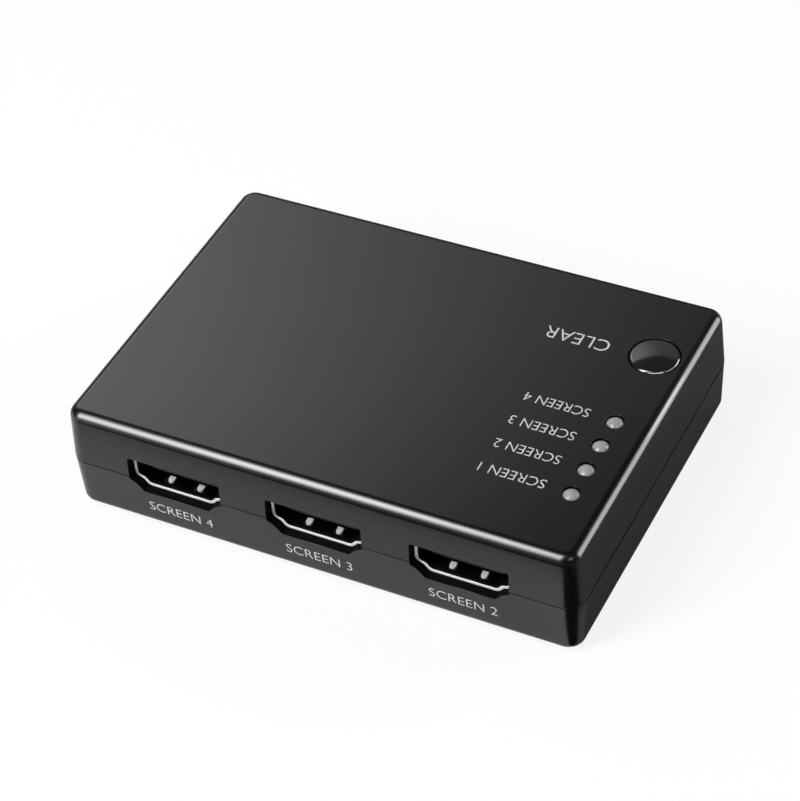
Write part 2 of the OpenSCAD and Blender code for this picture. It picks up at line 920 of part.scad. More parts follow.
// The reset button: a crowned cap in the cover's collar, two stops under it and a stem
module reset_button() {
    r = button_d / 2;
    z_edge = z_top + button_proud - button_crown;
    reach = r - button_edge_r;
    crown_r = (reach * reach + button_crown * button_crown) / (2 * button_crown);
    crown_a = asin(reach / crown_r);
    crown = arc([0, z_top + button_proud - crown_r], crown_r, 90 - crown_a, 90, dome_n);
    cap = concat(
        [[0, z_stop - stop_t], [r, z_stop - stop_t]],
        arc([reach, z_edge - button_edge_r], button_edge_r, 0, 90, dome_n),
        [for (i = [1:dome_n]) crown[i]]
    );
    color("#333335")
        at_button() {
            rotate_extrude()
                polygon(cap);
            translate([0, 0, z_stop - stop_t])
                linear_extrude(stop_t)
                    intersection() {
                        circle(r + stop_reach);
                        square([stop_w, 2 * (r + stop_reach)], center = true);
                    }
            translate([0, 0, z_plunger_top])
                cylinder(d = stem_d, h = z_stop - stop_t + join - z_plunger_top);
        }
}

// Round plunger that stands through the switch's metal cover, with a collar over the dome
collar_play = 0.05;
dome_rise = dome_low + button_travel;
well_h = dome_rise + dome_t + plunger_collar_t + collar_play;
well_z = z_switch_top - well_h;

module switch_plunger() {
    z_collar = z_switch_top - collar_play - plunger_collar_t;
    color("#202022")
        at_button() {
            translate([0, 0, z_collar])
                cylinder(d = plunger_collar_d, h = plunger_collar_t);
            translate([0, 0, z_collar])
                cylinder(d = plunger_d, h = z_plunger_top - z_collar);
        }
}

module switch_body() {
    color("#232325")
        at_button()
            difference() {
                block([-switch_w / 2, -switch_w / 2, z_deck], [switch_w / 2, switch_w / 2, z_switch_top]);
                translate([0, 0, well_z])
                    cylinder(d = well_d, h = well_h + over);
            }
}

module switch_cover() {
    color("#c4c7cc")
        at_button()
            difference() {
                block(
                    [-switch_w / 2, -switch_w / 2, z_switch_top],
                    [switch_w / 2, switch_w / 2, z_switch_top + switch_cover_t]
                );
                translate([0, 0, z_switch_top - over])
                    cylinder(d = plunger_d + 2 * plunger_gap, h = switch_cover_t + 2 * over);
            }
}

// Sprung metal dome between the well's floor and the plunger's collar
module switch_dome() {
    r = dome_d / 2;
    ball = (r * r + dome_rise * dome_rise) / (2 * dome_rise);
    span = asin(r / ball);
    under = arc([0, dome_rise - ball], ball, 90, 90 - span, dome_n);
    skin = concat(under, [for (i = [dome_n:-1:0]) under[i] + [0, dome_t]]);
    color("#d0b56a")
        at_button()
            translate([0, 0, well_z])
                rotate_extrude()
                    polygon(skin);
}

// Four flat legs from the switch's sides through the board, grown by a gap for the holes
leg_z = 1.4;
leg_reach = 2.25;

module switch_leg_set(gap) {
    for (side = [-1, 1], y = [-leg_reach, leg_reach])
        block(
            [
                side * (switch_w + switch_leg_t) / 2 - switch_leg_t / 2 - gap,
                y - switch_leg_w / 2 - gap,
                -board_t - lead_proud - gap
            ],
            [
                side * (switch_w + switch_leg_t) / 2 + switch_leg_t / 2 + gap,
                y + switch_leg_w / 2 + gap,
                leg_z + gap
            ]
        );
}

module switch_legs() {
    color("#c8cbd0")
        at_button()
            translate([0, 0, z_deck])
                switch_leg_set(0);
}

// Lamps: domed lenses in the cover's holes, standing on their leads
z_lens = z_top + led_proud - led_len;

module led_lens(i) {
    r = led_d / 2;
    ball = (r * r + led_crown * led_crown) / (2 * led_crown);
    color("#b4b4b2")
        at_led(i) {
            translate([0, 0, z_lens])
                cylinder(r = r + led_rim, h = led_rim_h);
            intersection() {
                translate([0, 0, z_lens])
                    cylinder(r = r, h = led_len + over);
                translate([0, 0, z_top + led_proud - ball])
                    sphere(ball);
            }
            translate([0, 0, z_lens])
                cylinder(r = r, h = led_len - led_crown - join);
        }
}

module led_1() led_lens(1);
module led_2() led_lens(2);
module led_3() led_lens(3);
module led_4() led_lens(4);

// Two leads under each lens, through the board, grown by a gap for the holes
module led_lead_set(gap) {
    half = led_lead / 2 + gap;
    for (i = [1:4], side = [-1, 1])
        at_led(i)
            block(
                [side * led_lead_pitch / 2 - half, -half, z_board - lead_proud - gap],
                [side * led_lead_pitch / 2 + half, half, z_lens]
            );
}

module led_leads() {
    color("#c8cbd0")
        led_lead_set(0);
}

// Board parts: the chips and the crystal from the middle of the board, the power parts from the
// right side of the case, and the regulator beside the jack and behind the mouths
regulator_size = [6.5, 3.5, 1.6];
regulator_gap = 1.65;
regulator_back = 7.8;
inductor_inset = 27;
inductor_y = 9;
can_inset = 18;
can_y = 2;
can_pitch = 8;
resistor_inset = 11.7;
resistor_y = -10.5;
chip_at = [0, 0];
memory_at = [-17, 7];
crystal_at = [-17, -5];
regulator_at = [socket_x - jack_w / 2 - regulator_gap - regulator_size.x / 2, mouth_y - regulator_back];
inductor_at = [case_w / 2 - inductor_inset, inductor_y];
can_at = [for (i = [0, 1]) [case_w / 2 - can_inset, can_y + i * can_pitch]];
resistor_at = [case_w / 2 - resistor_inset, resistor_y];

module on_board(place) {
    translate([place.x, place.y, z_deck])
        children();
}

// Gull-wing lead of a width, with a size of [reach, thickness], from y = 0 down to the board
module gull_lead(w, drop, size) {
    reach = size[0];
    t = size[1];
    across_x(w) {
        translate([0, drop - t])
            square([reach / 2, t]);
        translate([reach / 2 - t, 0])
            square([t, drop]);
        translate([reach / 2 - t, 0])
            square([reach / 2 + t, t]);
    }
}

chip_stand = 0.1;
chip_lead = [1.2, 0.12];
mark_in = 1.2;
mark_d = 1;

module splitter_chip() {
    half = chip_w / 2;
    color("#19191b")
        on_board(chip_at)
            difference() {
                block([-half, -half, chip_stand], [half, half, chip_stand + chip_h]);
                translate([-half + mark_in, half - mark_in, chip_h])
                    cylinder(d = mark_d, h = over);
            }
}

module chip_leads() {
    first = -(chip_leads_a_side - 1) / 2;
    color("#c8cbd0")
        on_board(chip_at)
            for (turn = [0:90:270], i = [0:chip_leads_a_side - 1])
                rotate(turn)
                    translate([(first + i) * chip_pitch, chip_w / 2, 0])
                        gull_lead(chip_pitch / 2, chip_stand + chip_h / 2, chip_lead);
}

memory_size = [3.9, 4.9, 1.4];
memory_pitch = 1.27;
memory_lead_w = 0.4;
memory_lead = [1.1, 0.2];

module memory_chip() {
    half = memory_size / 2;
    color("#19191b")
        on_board(memory_at)
            block([-half.x, -half.y, chip_stand], [half.x, half.y, chip_stand + memory_size.z]);
}

module memory_leads() {
    color("#c8cbd0")
        on_board(memory_at)
            for (turn = [90, -90], i = [-1.5:1:1.5])
                rotate(turn)
                    translate([i * memory_pitch, memory_size.x / 2, 0])
                        gull_lead(memory_lead_w, chip_stand + memory_size.z / 2, memory_lead);
}

regulator_pitch = 2.3;
regulator_lead_w = 0.7;
regulator_tab_w = 3;
regulator_lead = [1.75, 0.25];

module voltage_regulator() {
    half = regulator_size / 2;
    color("#19191b")
        on_board(regulator_at)
            block([-half.x, -half.y, chip_stand], [half.x, half.y, chip_stand + regulator_size.z]);
}

module regulator_leads() {
    color("#c8cbd0")
        on_board(regulator_at) {
            for (i = [-1:1])
                translate([i * regulator_pitch, regulator_size.y / 2, 0])
                    gull_lead(regulator_lead_w, chip_stand + regulator_size.z / 2, regulator_lead);
            rotate(180)
                translate([0, regulator_size.y / 2, 0])
                    gull_lead(regulator_tab_w, chip_stand + regulator_size.z / 2, regulator_lead);
        }
}

// Crystal in an oval can on a plastic base
crystal_base_t = 0.8;
crystal_rim = 0.4;

module crystal_plan(grow) {
    r = crystal_w / 2 + grow;
    run = crystal_len - crystal_w;
    square([run, 2 * r], center = true);
    for (side = [-1, 1])
        translate([side * run / 2, 0])
            circle(r);
}

module crystal_can() {
    color("#c9ccd1")
        on_board(crystal_at)
            translate([0, 0, crystal_base_t])
                linear_extrude(crystal_h)
                    crystal_plan(0);
}

module crystal_base() {
    color("#202022")
        on_board(crystal_at)
            linear_extrude(crystal_base_t)
                crystal_plan(crystal_rim);
}

module power_inductor() {
    half = inductor_w / 2;
    corner = inductor_w / 5;
    color("#4a4a4c")
        on_board(inductor_at)
            linear_extrude(inductor_h)
                polygon([
                    [half - corner, -half],
                    [half, -half + corner],
                    [half, half - corner],
                    [half - corner, half],
                    [-half + corner, half],
                    [-half, half - corner],
                    [-half, -half + corner],
                    [-half + corner, -half]
                ]);
}

// Electrolytic capacitors: a metal can with a rounded top on a square base
can_base_t = 1;
can_round = 0.5;
can_base_over = 0.3;

module capacitor_cans() {
    r = can_d / 2;
    color("#c4c6ca")
        for (place = can_at)
            on_board(place)
                rotate_extrude()
                    polygon(concat(
                        [[0, can_base_t], [r, can_base_t]],
                        arc([r - can_round, can_h - can_round], can_round, 0, 90, arc_n),
                        [[0, can_h]]
                    ));
}

module capacitor_bases() {
    half = can_d / 2 + can_base_over;
    color("#1c1c1e")
        for (place = can_at)
            on_board(place)
                block([-half, -half, 0], [half, half, can_base_t]);
}

// Small parts in rows
small_size = [1.6, 0.8, 0.8];
small_gap = 0.8;
ring_gap = 2.2;
ring_count = 5;
ring_pitch = 2;

module small_part(h) {
    block([-small_size.x / 2, -small_size.y / 2, 0], [small_size.x / 2, small_size.y / 2, h]);
}

module ceramic_capacitors() {
    color("#b89a6c")
        on_board(chip_at)
            for (turn = [0:90:270], i = [0:ring_count - 1])
                rotate(turn)
                    translate([(i - (ring_count - 1) / 2) * ring_pitch, chip_w / 2 + ring_gap, 0])
                        rotate(90)
                            small_part(small_size.z);
}

resistor_rows = 8;
resistor_h = 0.5;

module resistors() {
    color("#151517")
        on_board(resistor_at)
            for (i = [0:resistor_rows - 1], side = [-1, 1])
                translate([side * (small_size.x + small_gap) / 2, i * (small_size.y + small_gap), 0])
                    small_part(resistor_h);
}

array_size = [3, 1.4, 0.9];
array_gap = 0.8;
array_pitch = 4.6;

module protection_arrays() {
    y = socket_len + 2 * contact_t + contact_foot + array_gap;
    half = array_size.x / 2;
    color("#19191b")
        at_sockets()
            for (side = [-1, 1])
                block(
                    [side * array_pitch / 2 - half, y, 0],
                    [side * array_pitch / 2 + half, y + array_size.y, array_size.z]
                );
}

top_cover();
bottom_cover();
case_screws();
rubber_feet();
main_board();
output_1_shell();
output_1_insulator();
output_1_contacts();
output_2_shell();
output_2_insulator();
output_2_contacts();
output_3_shell();
output_3_insulator();
output_3_contacts();
output_4_shell();
output_4_insulator();
output_4_contacts();
input_shell();
input_insulator();
input_contacts();
power_jack_body();
power_jack_pin();
power_jack_spring();
reset_button();
switch_plunger();
switch_body();
switch_cover();
switch_dome();
switch_legs();
led_1();
led_2();
led_3();
led_4();
led_leads();
splitter_chip();
chip_leads();
memory_chip();
memory_leads();
voltage_regulator();
regulator_leads();
crystal_can();
crystal_base();
power_inductor();
capacitor_cans();
capacitor_bases();
ceramic_capacitors();
resistors();
protection_arrays();
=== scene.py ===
"""Looks of a flat black video splitter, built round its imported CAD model."""
import math

import bmesh
import bpy
from mathutils import Matrix, Vector


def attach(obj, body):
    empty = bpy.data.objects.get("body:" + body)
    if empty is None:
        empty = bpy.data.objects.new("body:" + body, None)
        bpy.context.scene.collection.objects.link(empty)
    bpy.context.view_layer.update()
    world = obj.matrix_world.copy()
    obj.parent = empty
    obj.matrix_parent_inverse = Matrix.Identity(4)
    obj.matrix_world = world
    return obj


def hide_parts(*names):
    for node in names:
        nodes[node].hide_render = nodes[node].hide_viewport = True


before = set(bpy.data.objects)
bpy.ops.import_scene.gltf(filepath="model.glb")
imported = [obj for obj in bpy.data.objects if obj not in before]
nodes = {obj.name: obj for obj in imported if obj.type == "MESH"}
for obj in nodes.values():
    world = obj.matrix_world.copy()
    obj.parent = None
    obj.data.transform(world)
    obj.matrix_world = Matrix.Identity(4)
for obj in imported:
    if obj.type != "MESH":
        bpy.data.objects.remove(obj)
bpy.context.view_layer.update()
bpy.ops.object.select_all(action="DESELECT")


# Bottom cover
# The lower half of the box, injection moulded in black styrene plastic, satin outside and matt
# inside. Its inside and the walls of its openings also carry painted shade: a darker copy of the
# plastic with almost no gloss, which keeps them black. Its walls lean in towards the floor, and a lip
# round its rim centres the upper half on it.
MM = 0.001
case_w = 84 * MM
case_d = 59 * MM
corner_r = 3 * MM
edge_r = 1.5 * MM
wall = 1.4 * MM
inner_r = 0.5 * MM
z_bottom = 0.5 * MM
z_floor = 2.1 * MM
z_split = 9.75 * MM
z_base_edge = 9.67 * MM
side_drop = 0.2 * MM
z_lip = 10.75 * MM
lip_inset = 0.8 * MM
base_step = 0.04 * MM
base_lean = math.tan(math.radians(2.4))
base_break = 0.03 * MM
boss_r = 3.5 * MM
boss_top = 6.2 * MM
head_r = 2.6 * MM
head_top = 2.9 * MM
shank_r = 1.55 * MM
shank_low = 2.0 * MM
shank_top = 7.2 * MM
sink_r = 4.15 * MM
sink_top = 1.0 * MM
corner_steps = 14
edge_steps = 10
# How far a cutting body stands past what it cuts, and how near two places count as the same
over = 1 * MM
touch = 0.01 * MM
hair = 0.02 * MM
on_wall = 0.004 * MM
on_face = 0.001 * MM
weld = 0.002 * MM
fine_cut = 0.0001 * MM


def base_in(z):
    """How far the lower half's wall stands in from the parting line's outline at a height."""
    return base_step + base_lean * (z_split - z)


def inset_at(x, y):
    """How far a point of the plan lies inside the outline of the parting line."""
    dx = abs(x) - (case_w / 2 - corner_r)
    dy = abs(y) - (case_d / 2 - corner_r)
    if dx > 0 and dy > 0:
        return corner_r - math.hypot(dx, dy)
    return corner_r - max(dx, dy)


def edit(piece, kind, test):
    """Opens a piece in edit mode with only the vertices, edges or faces selected that pass a test."""
    bpy.ops.object.select_all(action="DESELECT")
    piece.select_set(True)
    bpy.context.view_layer.objects.active = piece
    bpy.ops.object.mode_set(mode="EDIT")
    bpy.ops.mesh.select_mode(type=kind)
    bpy.ops.mesh.select_all(action="DESELECT")
    shape = bmesh.from_edit_mesh(piece.data)
    for item in {"VERT": shape.verts, "EDGE": shape.edges, "FACE": shape.faces}[kind]:
        if test(item):
            item.select_set(True)
    shape.select_flush_mode()
    bmesh.update_edit_mesh(piece.data)


def close_up(piece):
    """Fills the open foot of a raised form, turns its faces outwards and leaves edit mode."""
    bpy.ops.mesh.select_all(action="SELECT")
    bpy.ops.mesh.region_to_loop()
    bpy.ops.mesh.edge_face_add()
    bpy.ops.mesh.select_all(action="SELECT")
    bpy.ops.mesh.normals_make_consistent(inside=False)
    bpy.ops.object.mode_set(mode="OBJECT")
    bpy.ops.object.transform_apply(location=True, rotation=True, scale=True)
    return piece


def raise_through(levels):
    """Insets the selected face and lifts it from level to level, given as (inset, height)."""
    for (inset, z), (next_inset, next_z) in zip(levels, levels[1:]):
        if next_inset > inset:
            bpy.ops.mesh.inset(thickness=next_inset - inset, use_even_offset=True)
            bpy.ops.transform.translate(value=(0, 0, next_z - z))
        else:
            bpy.ops.mesh.extrude_region_move(TRANSFORM_OT_translate={"value": (0, 0, next_z - z)})


def box_form(name, levels):
    """A solid with the box's rounded plan, raised or sunk through levels."""
    inset, z = levels[0]
    bpy.ops.object.select_all(action="DESELECT")
    bpy.ops.mesh.primitive_plane_add(size=1, enter_editmode=True, location=(0, 0, z))
    piece = bpy.context.object
    piece.name = name
    bpy.ops.transform.resize(value=(case_w - 2 * inset, case_d - 2 * inset, 1))
    bpy.ops.mesh.bevel(offset=corner_r - inset, segments=corner_steps, affect="VERTICES")
    bpy.ops.mesh.select_all(action="SELECT")
    raise_through(levels)
    return close_up(piece)


def joined(name, bodies):
    """Several bodies made one object, with its place in its mesh."""
    bpy.ops.object.select_all(action="DESELECT")
    for body in bodies:
        body.select_set(True)
    bpy.context.view_layer.objects.active = bodies[0]
    if len(bodies) > 1:
        bpy.ops.object.join()
    bpy.ops.object.transform_apply(location=True, rotation=True, scale=True)
    bodies[0].name = name
    return bodies[0]


def round_bars(name, radius, z_low, z_high, places, sides=64):
    """Upright round bars at several places, as one body."""
    bars = []
    for x, y in places:
        bpy.ops.object.select_all(action="DESELECT")
        bpy.ops.mesh.primitive_cylinder_add(
            vertices=sides, radius=radius, depth=z_high - z_low, location=(x, y, (z_low + z_high) / 2))
        bars.append(bpy.context.object)
    return joined(name, bars)


def combine(piece, operation, tool):
    """Joins a tool body to a piece or cuts it out of the piece, and takes the tool away."""
    modifier = piece.modifiers.new("combine", "BOOLEAN")
    modifier.operation = operation
    modifier.solver = "EXACT"
    modifier.object = tool
    bpy.context.view_layer.objects.active = piece
    bpy.ops.object.modifier_apply(modifier=modifier.name)
    bpy.data.objects.remove(tool)


def weld_points(piece):
    """Opens a piece in edit mode with all of it selected, and merges its doubled points."""
    edit(piece, "VERT", lambda vertex: True)
    bpy.ops.mesh.remove_doubles(threshold=weld)


def smooth(piece, angle=40):
    """Shades a piece smooth up to an angle, with the normals of its larger faces."""
    bpy.ops.object.select_all(action="DESELECT")
    piece.select_set(True)
    bpy.context.view_layer.objects.active = piece
    bpy.ops.object.shade_smooth_by_angle(angle=math.radians(angle))
    modifier = piece.modifiers.new("weigh", "WEIGHTED_NORMAL")
    modifier.keep_sharp = True
    bpy.ops.object.modifier_apply(modifier=modifier.name)


def break_edges(piece, width, test, flat=math.radians(0.5), sharp=0.6):
    """Takes the sharpness off the edges that pass a test, then smooths the shading between edges."""
    weld_points(piece)
    bpy.ops.mesh.dissolve_limited(angle_limit=flat)
    bpy.ops.object.mode_set(mode="OBJECT")
    edit(piece, "EDGE", lambda edge: edge.is_manifold and edge.calc_face_angle() > sharp and test(edge))
    bpy.ops.mesh.bevel(offset=width, segments=3, affect="EDGES")
    bpy.ops.object.mode_set(mode="OBJECT")
    smooth(piece)


def four(x, y):
    """The four places that mirror each other about the middle of the box."""
    return [(-x, -y), (x, -y), (-x, y), (x, y)]


# The way into each socket and the jack, cut through both halves of the box
opening_floor = 8.15 * MM
opening_w = 15.7 * MM
opening_top = 5.2 * MM
opening_low = -0.87 * MM
ledge_overlap = 0.3 * MM
opening_side = (7.85 * MM, 1.1 * MM)
opening_ledge = (6.85 * MM, 0.6 * MM)
opening_sill = (5.5 * MM, opening_low)
opening_round = 0.45 * MM
front_sockets = {"output_4": -23.4 * MM, "output_3": 0, "output_2": 23.4 * MM}
rear_sockets = {"output_1": -23.4 * MM, "input": 0}
jack_x = 23.4 * MM
jack_z = 11.2 * MM
jack_hole_r = 3.05 * MM
mouth_y = 27.8 * MM
cut_y = mouth_y + 1.2 * MM
cut_reach = 2.7 * MM


def opening_block(x, y, low, high, upper_point, lower_point):
    """A block between two heights whose lower corners are cut off through two points of the outline."""
    bpy.ops.object.select_all(action="DESELECT")
    bpy.ops.mesh.primitive_cube_add(size=1, enter_editmode=True,
                                    location=(x, y, opening_floor + (low + high) / 2))
    block = bpy.context.object
    bpy.ops.transform.resize(value=(opening_w, 2 * cut_reach, high - low))
    (x1, z1), (x2, z2) = upper_point, lower_point
    for side in (-1, 1):
        outwards = Vector((side * (z1 - z2), 0, x2 - x1)).normalized()
        bpy.ops.mesh.select_all(action="SELECT")
        bpy.ops.mesh.bisect(plane_co=(x + side * x1, y, opening_floor + z1), plane_no=outwards,
                            use_fill=True, clear_outer=True, threshold=fine_cut)
    bpy.ops.mesh.select_all(action="SELECT")
    bpy.ops.mesh.normals_make_consistent(inside=False)
    bpy.ops.object.mode_set(mode="OBJECT")
    return block


def cut_openings(piece):
    """Cuts every opening of the box's front and rear walls out of one of its halves."""
    places = [(x, -cut_y) for x in front_sockets.values()] + [(x, cut_y) for x in rear_sockets.values()]
    top = (opening_top - opening_ledge[1]) / 2
    uppers = []
    for x, y in places:
        block = opening_block(x, y, opening_ledge[1], opening_top, opening_side, opening_ledge)
        edit(block, "EDGE", lambda edge: all(abs(v.co.z - top) < touch for v in edge.verts)
             and abs(edge.verts[0].co.x - edge.verts[1].co.x) < touch)
        bpy.ops.mesh.bevel(offset=opening_round, segments=5, affect="EDGES")
        bpy.ops.object.mode_set(mode="OBJECT")
        uppers.append(block)
    bpy.ops.object.select_all(action="DESELECT")
    bpy.ops.mesh.primitive_cylinder_add(vertices=64, radius=jack_hole_r, depth=2 * cut_reach,
                                        location=(jack_x, cut_y, jack_z), rotation=(math.radians(90), 0, 0))
    uppers.append(bpy.context.object)
    combine(piece, "DIFFERENCE", joined("uppers", uppers))
    low_top = opening_ledge[1] + ledge_overlap
    lowers = [opening_block(x, y, opening_low, low_top, opening_ledge, opening_sill) for x, y in places]
    combine(piece, "DIFFERENCE", joined("lowers", lowers))


z_round = z_bottom + edge_r
base_outside = [(base_in(z_base_edge), z_base_edge)]
for step in range(edge_steps + 1):
    turn = math.radians(90) * step / edge_steps
    z = z_round - edge_r * math.sin(turn)
    base_outside.append((base_in(z) + edge_r * (1 - math.cos(turn)), z))
base_piece = box_form("lower_half", base_outside)
combine(base_piece, "UNION", box_form("lip", [(lip_inset, z_base_edge - over), (lip_inset, z_lip)]))
base_inside = [
    (wall, z_lip + over),
    (wall + base_in(z_floor + inner_r), z_floor + inner_r),
    (wall + base_in(z_floor) + inner_r, z_floor),
]
combine(base_piece, "DIFFERENCE", box_form("room", base_inside))
screw_places = four(36 * MM, 23.5 * MM)
foot_places = four(33 * MM, 14.5 * MM)
below = z_bottom - over
combine(base_piece, "UNION", round_bars("bosses", boss_r, z_floor - wall / 2, boss_top, screw_places))
combine(base_piece, "DIFFERENCE", round_bars("heads", head_r, below, head_top, screw_places))
combine(base_piece, "DIFFERENCE", round_bars("shanks", shank_r, shank_low, shank_top, screw_places))
combine(base_piece, "DIFFERENCE", round_bars("sinks", sink_r, below, sink_top, foot_places))
cut_openings(base_piece)


def base_rim(edge):
    """True on the outer edges of the lower half: round its openings and the holes in its floor."""
    return (all(abs(inset_at(v.co.x, v.co.y) - base_in(v.co.z)) < on_wall
                or abs(v.co.z - z_bottom) < on_face for v in edge.verts)
            and min(v.co.z for v in edge.verts) < z_base_edge - touch)


# The rim of the two short sides lies a little lower, which opens the parting line there
break_edges(base_piece, base_break, base_rim)
edit(base_piece, "VERT", lambda vertex: abs(vertex.co.z - z_base_edge) < touch
     and abs(case_w / 2 - base_in(z_base_edge) - abs(vertex.co.x)) < touch)
bpy.ops.transform.translate(value=(0, 0, -side_drop))
bpy.ops.object.mode_set(mode="OBJECT")


class Wire:
    """One output in a material's node tree. Sums and products of wires add Math nodes."""

    def __init__(self, tree, output=None):
        self.tree = tree
        self.output = output

    def node(self, kind, settings=None, inputs=None, out=0):
        """Adds a node, makes its settings, fills its sockets and returns one of its outputs."""
        made = self.tree.nodes.new(kind)
        for name, value in (settings or {}).items():
            setattr(made, name, value)
        for name, value in (inputs or {}).items():
            self.feed(made.inputs[name], value)
        return Wire(self.tree, made.outputs[out])

    def feed(self, socket, value):
        """Links a wire to a socket, or sets the socket's own value."""
        if isinstance(value, Wire):
            self.tree.links.new(value.output, socket)
        else:
            socket.default_value = value

    def math(self, operation, first, second):
        """Adds a Math node of two wires or values."""
        return self.node("ShaderNodeMath", {"operation": operation}, {0: first, 1: second})

    def __add__(self, other):
        return self.math("ADD", self, other)

    def __mul__(self, other):
        return self.math("MULTIPLY", self, other)

    def __gt__(self, other):
        return self.math("GREATER_THAN", self, other)

    __radd__ = __add__
    __rmul__ = __mul__


def new_finish(name, constants):
    """A new material with its constant sockets set: the material, its shader and Object coordinates."""
    material = bpy.data.materials.new(name)
    material.use_nodes = True
    shader = material.node_tree.nodes["Principled BSDF"]
    for socket, value in constants.items():
        shader.inputs[socket].default_value = value
    return material, shader, Wire(material.node_tree).node("ShaderNodeTexCoord", out="Object")


def noise(place, scale, detail=2.0):
    """Cloudy noise from 0 to 1, with about this many cells to the metre."""
    return place.node("ShaderNodeTexNoise", {}, {"Vector": place, "Scale": scale, "Detail": detail})


def blend(mask, low, high):
    """A colour that goes from low to high with a mask."""
    return mask.node("ShaderNodeMix", {"data_type": "RGBA"}, {0: mask, 6: low, 7: high}, out=2)


def relief(height, strength, depth):
    """A bump of a height's full depth in metres."""
    return height.node("ShaderNodeBump", {}, {"Strength": strength, "Distance": depth, "Height": height})


def moulded_black(name, dark, light, roughness, spread, grain_depth, gloss=0.62):
    """Black moulded plastic: a faint flow pattern in its colour and gloss, and a fine mould grain."""
    material, shader, place = new_finish(name, {"IOR": 1.6, "Specular IOR Level": gloss})
    flow = noise(place, 70.0, 4.0)
    grain = noise(place, 4200.0, 3.0)
    place.feed(shader.inputs["Base Color"], blend(flow, dark, light))
    place.feed(shader.inputs["Roughness"], roughness - spread / 2 + spread * flow)
    place.feed(shader.inputs["Normal"], relief(grain, 0.25, grain_depth))
    return material


def put_on(piece, body, material, slot, *replaced):
    """Gives a new piece its material, its body and the nodes that it stands for. Its slot is not used."""
    piece.data.materials.clear()
    piece.data.materials.append(material)
    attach(piece, body)
    if replaced:
        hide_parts(*replaced)


def finish_faces(piece, material, test):
    """Gives the faces that pass a test another material, which is added to the piece if it is new."""
    if material.name not in piece.data.materials:
        piece.data.materials.append(material)
    edit(piece, "FACE", test)
    piece.active_material_index = piece.data.materials.find(material.name)
    bpy.ops.object.material_slot_assign()
    bpy.ops.object.mode_set(mode="OBJECT")


case_black = moulded_black("case_black", (0.0028, 0.0028, 0.0029, 1), (0.0036, 0.0036, 0.0038, 1),
                           roughness=0.24, spread=0.03, grain_depth=0.004 * MM)
# Painted shade: a darker, nearly unreflecting copy of the case plastic for the inside faces and the walls of
# the openings, which keeps them black.
case_inside_painted_shade = moulded_black("case_inside_painted_shade", (0.0010, 0.0010, 0.0010, 1), (0.0014, 0.0014, 0.0014, 1),
                            roughness=0.6, spread=0.1, grain_depth=0.01 * MM, gloss=0.05)
skin = wall / 4
put_on(base_piece, "housing", case_black, "base_plastic", "bottom_cover")
finish_faces(base_piece, case_inside_painted_shade, lambda face: any(
    inset_at(v.co.x, v.co.y) > base_in(v.co.z) + skin and v.co.z > z_floor - hair for v in face.verts))


# Rubber feet
# Four thin round pads of matt black rubber, punched from sheet and glued into shallow sinks in
# the floor of the box. Their lower edge is rounded.
foot_edge = 0.08 * MM
foot_edge_top = 0.3 * MM


def own_copy(source, name):
    """A copy of an object with a mesh of its own, free of the source's body and marks."""
    piece = source.copy()
    piece.data = source.data.copy()
    piece.name = name
    piece.parent = None
    for key in list(piece.keys()):
        del piece[key]
    bpy.context.scene.collection.objects.link(piece)
    return piece


def worked_copy(node, name):
    """A copy of a CAD node without its fixed normals, to be merged and shaped further."""
    piece = own_copy(nodes[node], name)
    bpy.ops.object.select_all(action="DESELECT")
    piece.select_set(True)
    bpy.context.view_layer.objects.active = piece
    bpy.ops.mesh.customdata_custom_splitnormals_clear()
    return piece


feet = worked_copy("rubber_feet", "feet")
break_edges(feet, foot_edge, lambda edge: max(v.co.z for v in edge.verts) < foot_edge_top)
rubber, shader, place = new_finish("foot_rubber", {"Specular IOR Level": 0.35})
dust = noise(place, 900.0, 5.0)
place.feed(shader.inputs["Base Color"], blend(dust, (0.010, 0.010, 0.010, 1), (0.022, 0.022, 0.021, 1)))
place.feed(shader.inputs["Roughness"], 0.68 + 0.15 * dust)
place.feed(shader.inputs["Normal"], relief(noise(place, 6000.0), 0.4, 0.02 * MM))
put_on(feet, "housing", rubber, "foot_rubber", "rubber_feet")


# Circuit board
# Glass laminate under black solder resist, with copper tracks that show as slightly raised,
# lighter lines. It lies on the four bosses and carries every electrical part.
def dress(material, *names):
    """Gives CAD nodes that stay as they are a finish of their own."""
    for name in names:
        for holder in nodes[name].material_slots:
            holder.material = material


resist, shader, place = new_finish("solder_resist", {"Roughness": 0.3, "IOR": 1.52})
tracks = place.node("ShaderNodeTexBrick", {"offset": 0.35, "squash": 0.6},
                    {"Vector": place, "Scale": 420.0, "Mortar Size": 0.16, "Mortar Smooth": 0.1}, out="Fac")
weave = noise(place, 1600.0, 2.0)
place.feed(shader.inputs["Base Color"], blend(tracks, (0.008, 0.011, 0.010, 1), (0.017, 0.024, 0.021, 1)))
place.feed(shader.inputs["Normal"], relief(tracks + 0.3 * weave, 0.5, 0.03 * MM))
dress(resist, "main_board")


# Chips, resistors and protection arrays
# Bodies pressed from black epoxy filled with quartz powder, which leaves them matt and speckled.
# They are soldered to the board by their leads and end caps.
resin, shader, place = new_finish("chip_resin", {"Specular IOR Level": 0.4})
speckle = noise(place, 5200.0, 4.0)
place.feed(shader.inputs["Base Color"], blend(speckle, (0.008, 0.008, 0.009, 1), (0.024, 0.024, 0.025, 1)))
place.feed(shader.inputs["Roughness"], 0.55 + 0.2 * speckle)
place.feed(shader.inputs["Normal"], relief(speckle, 0.4, 0.02 * MM))
dress(resin, "splitter_chip", "memory_chip", "voltage_regulator", "resistors", "protection_arrays")


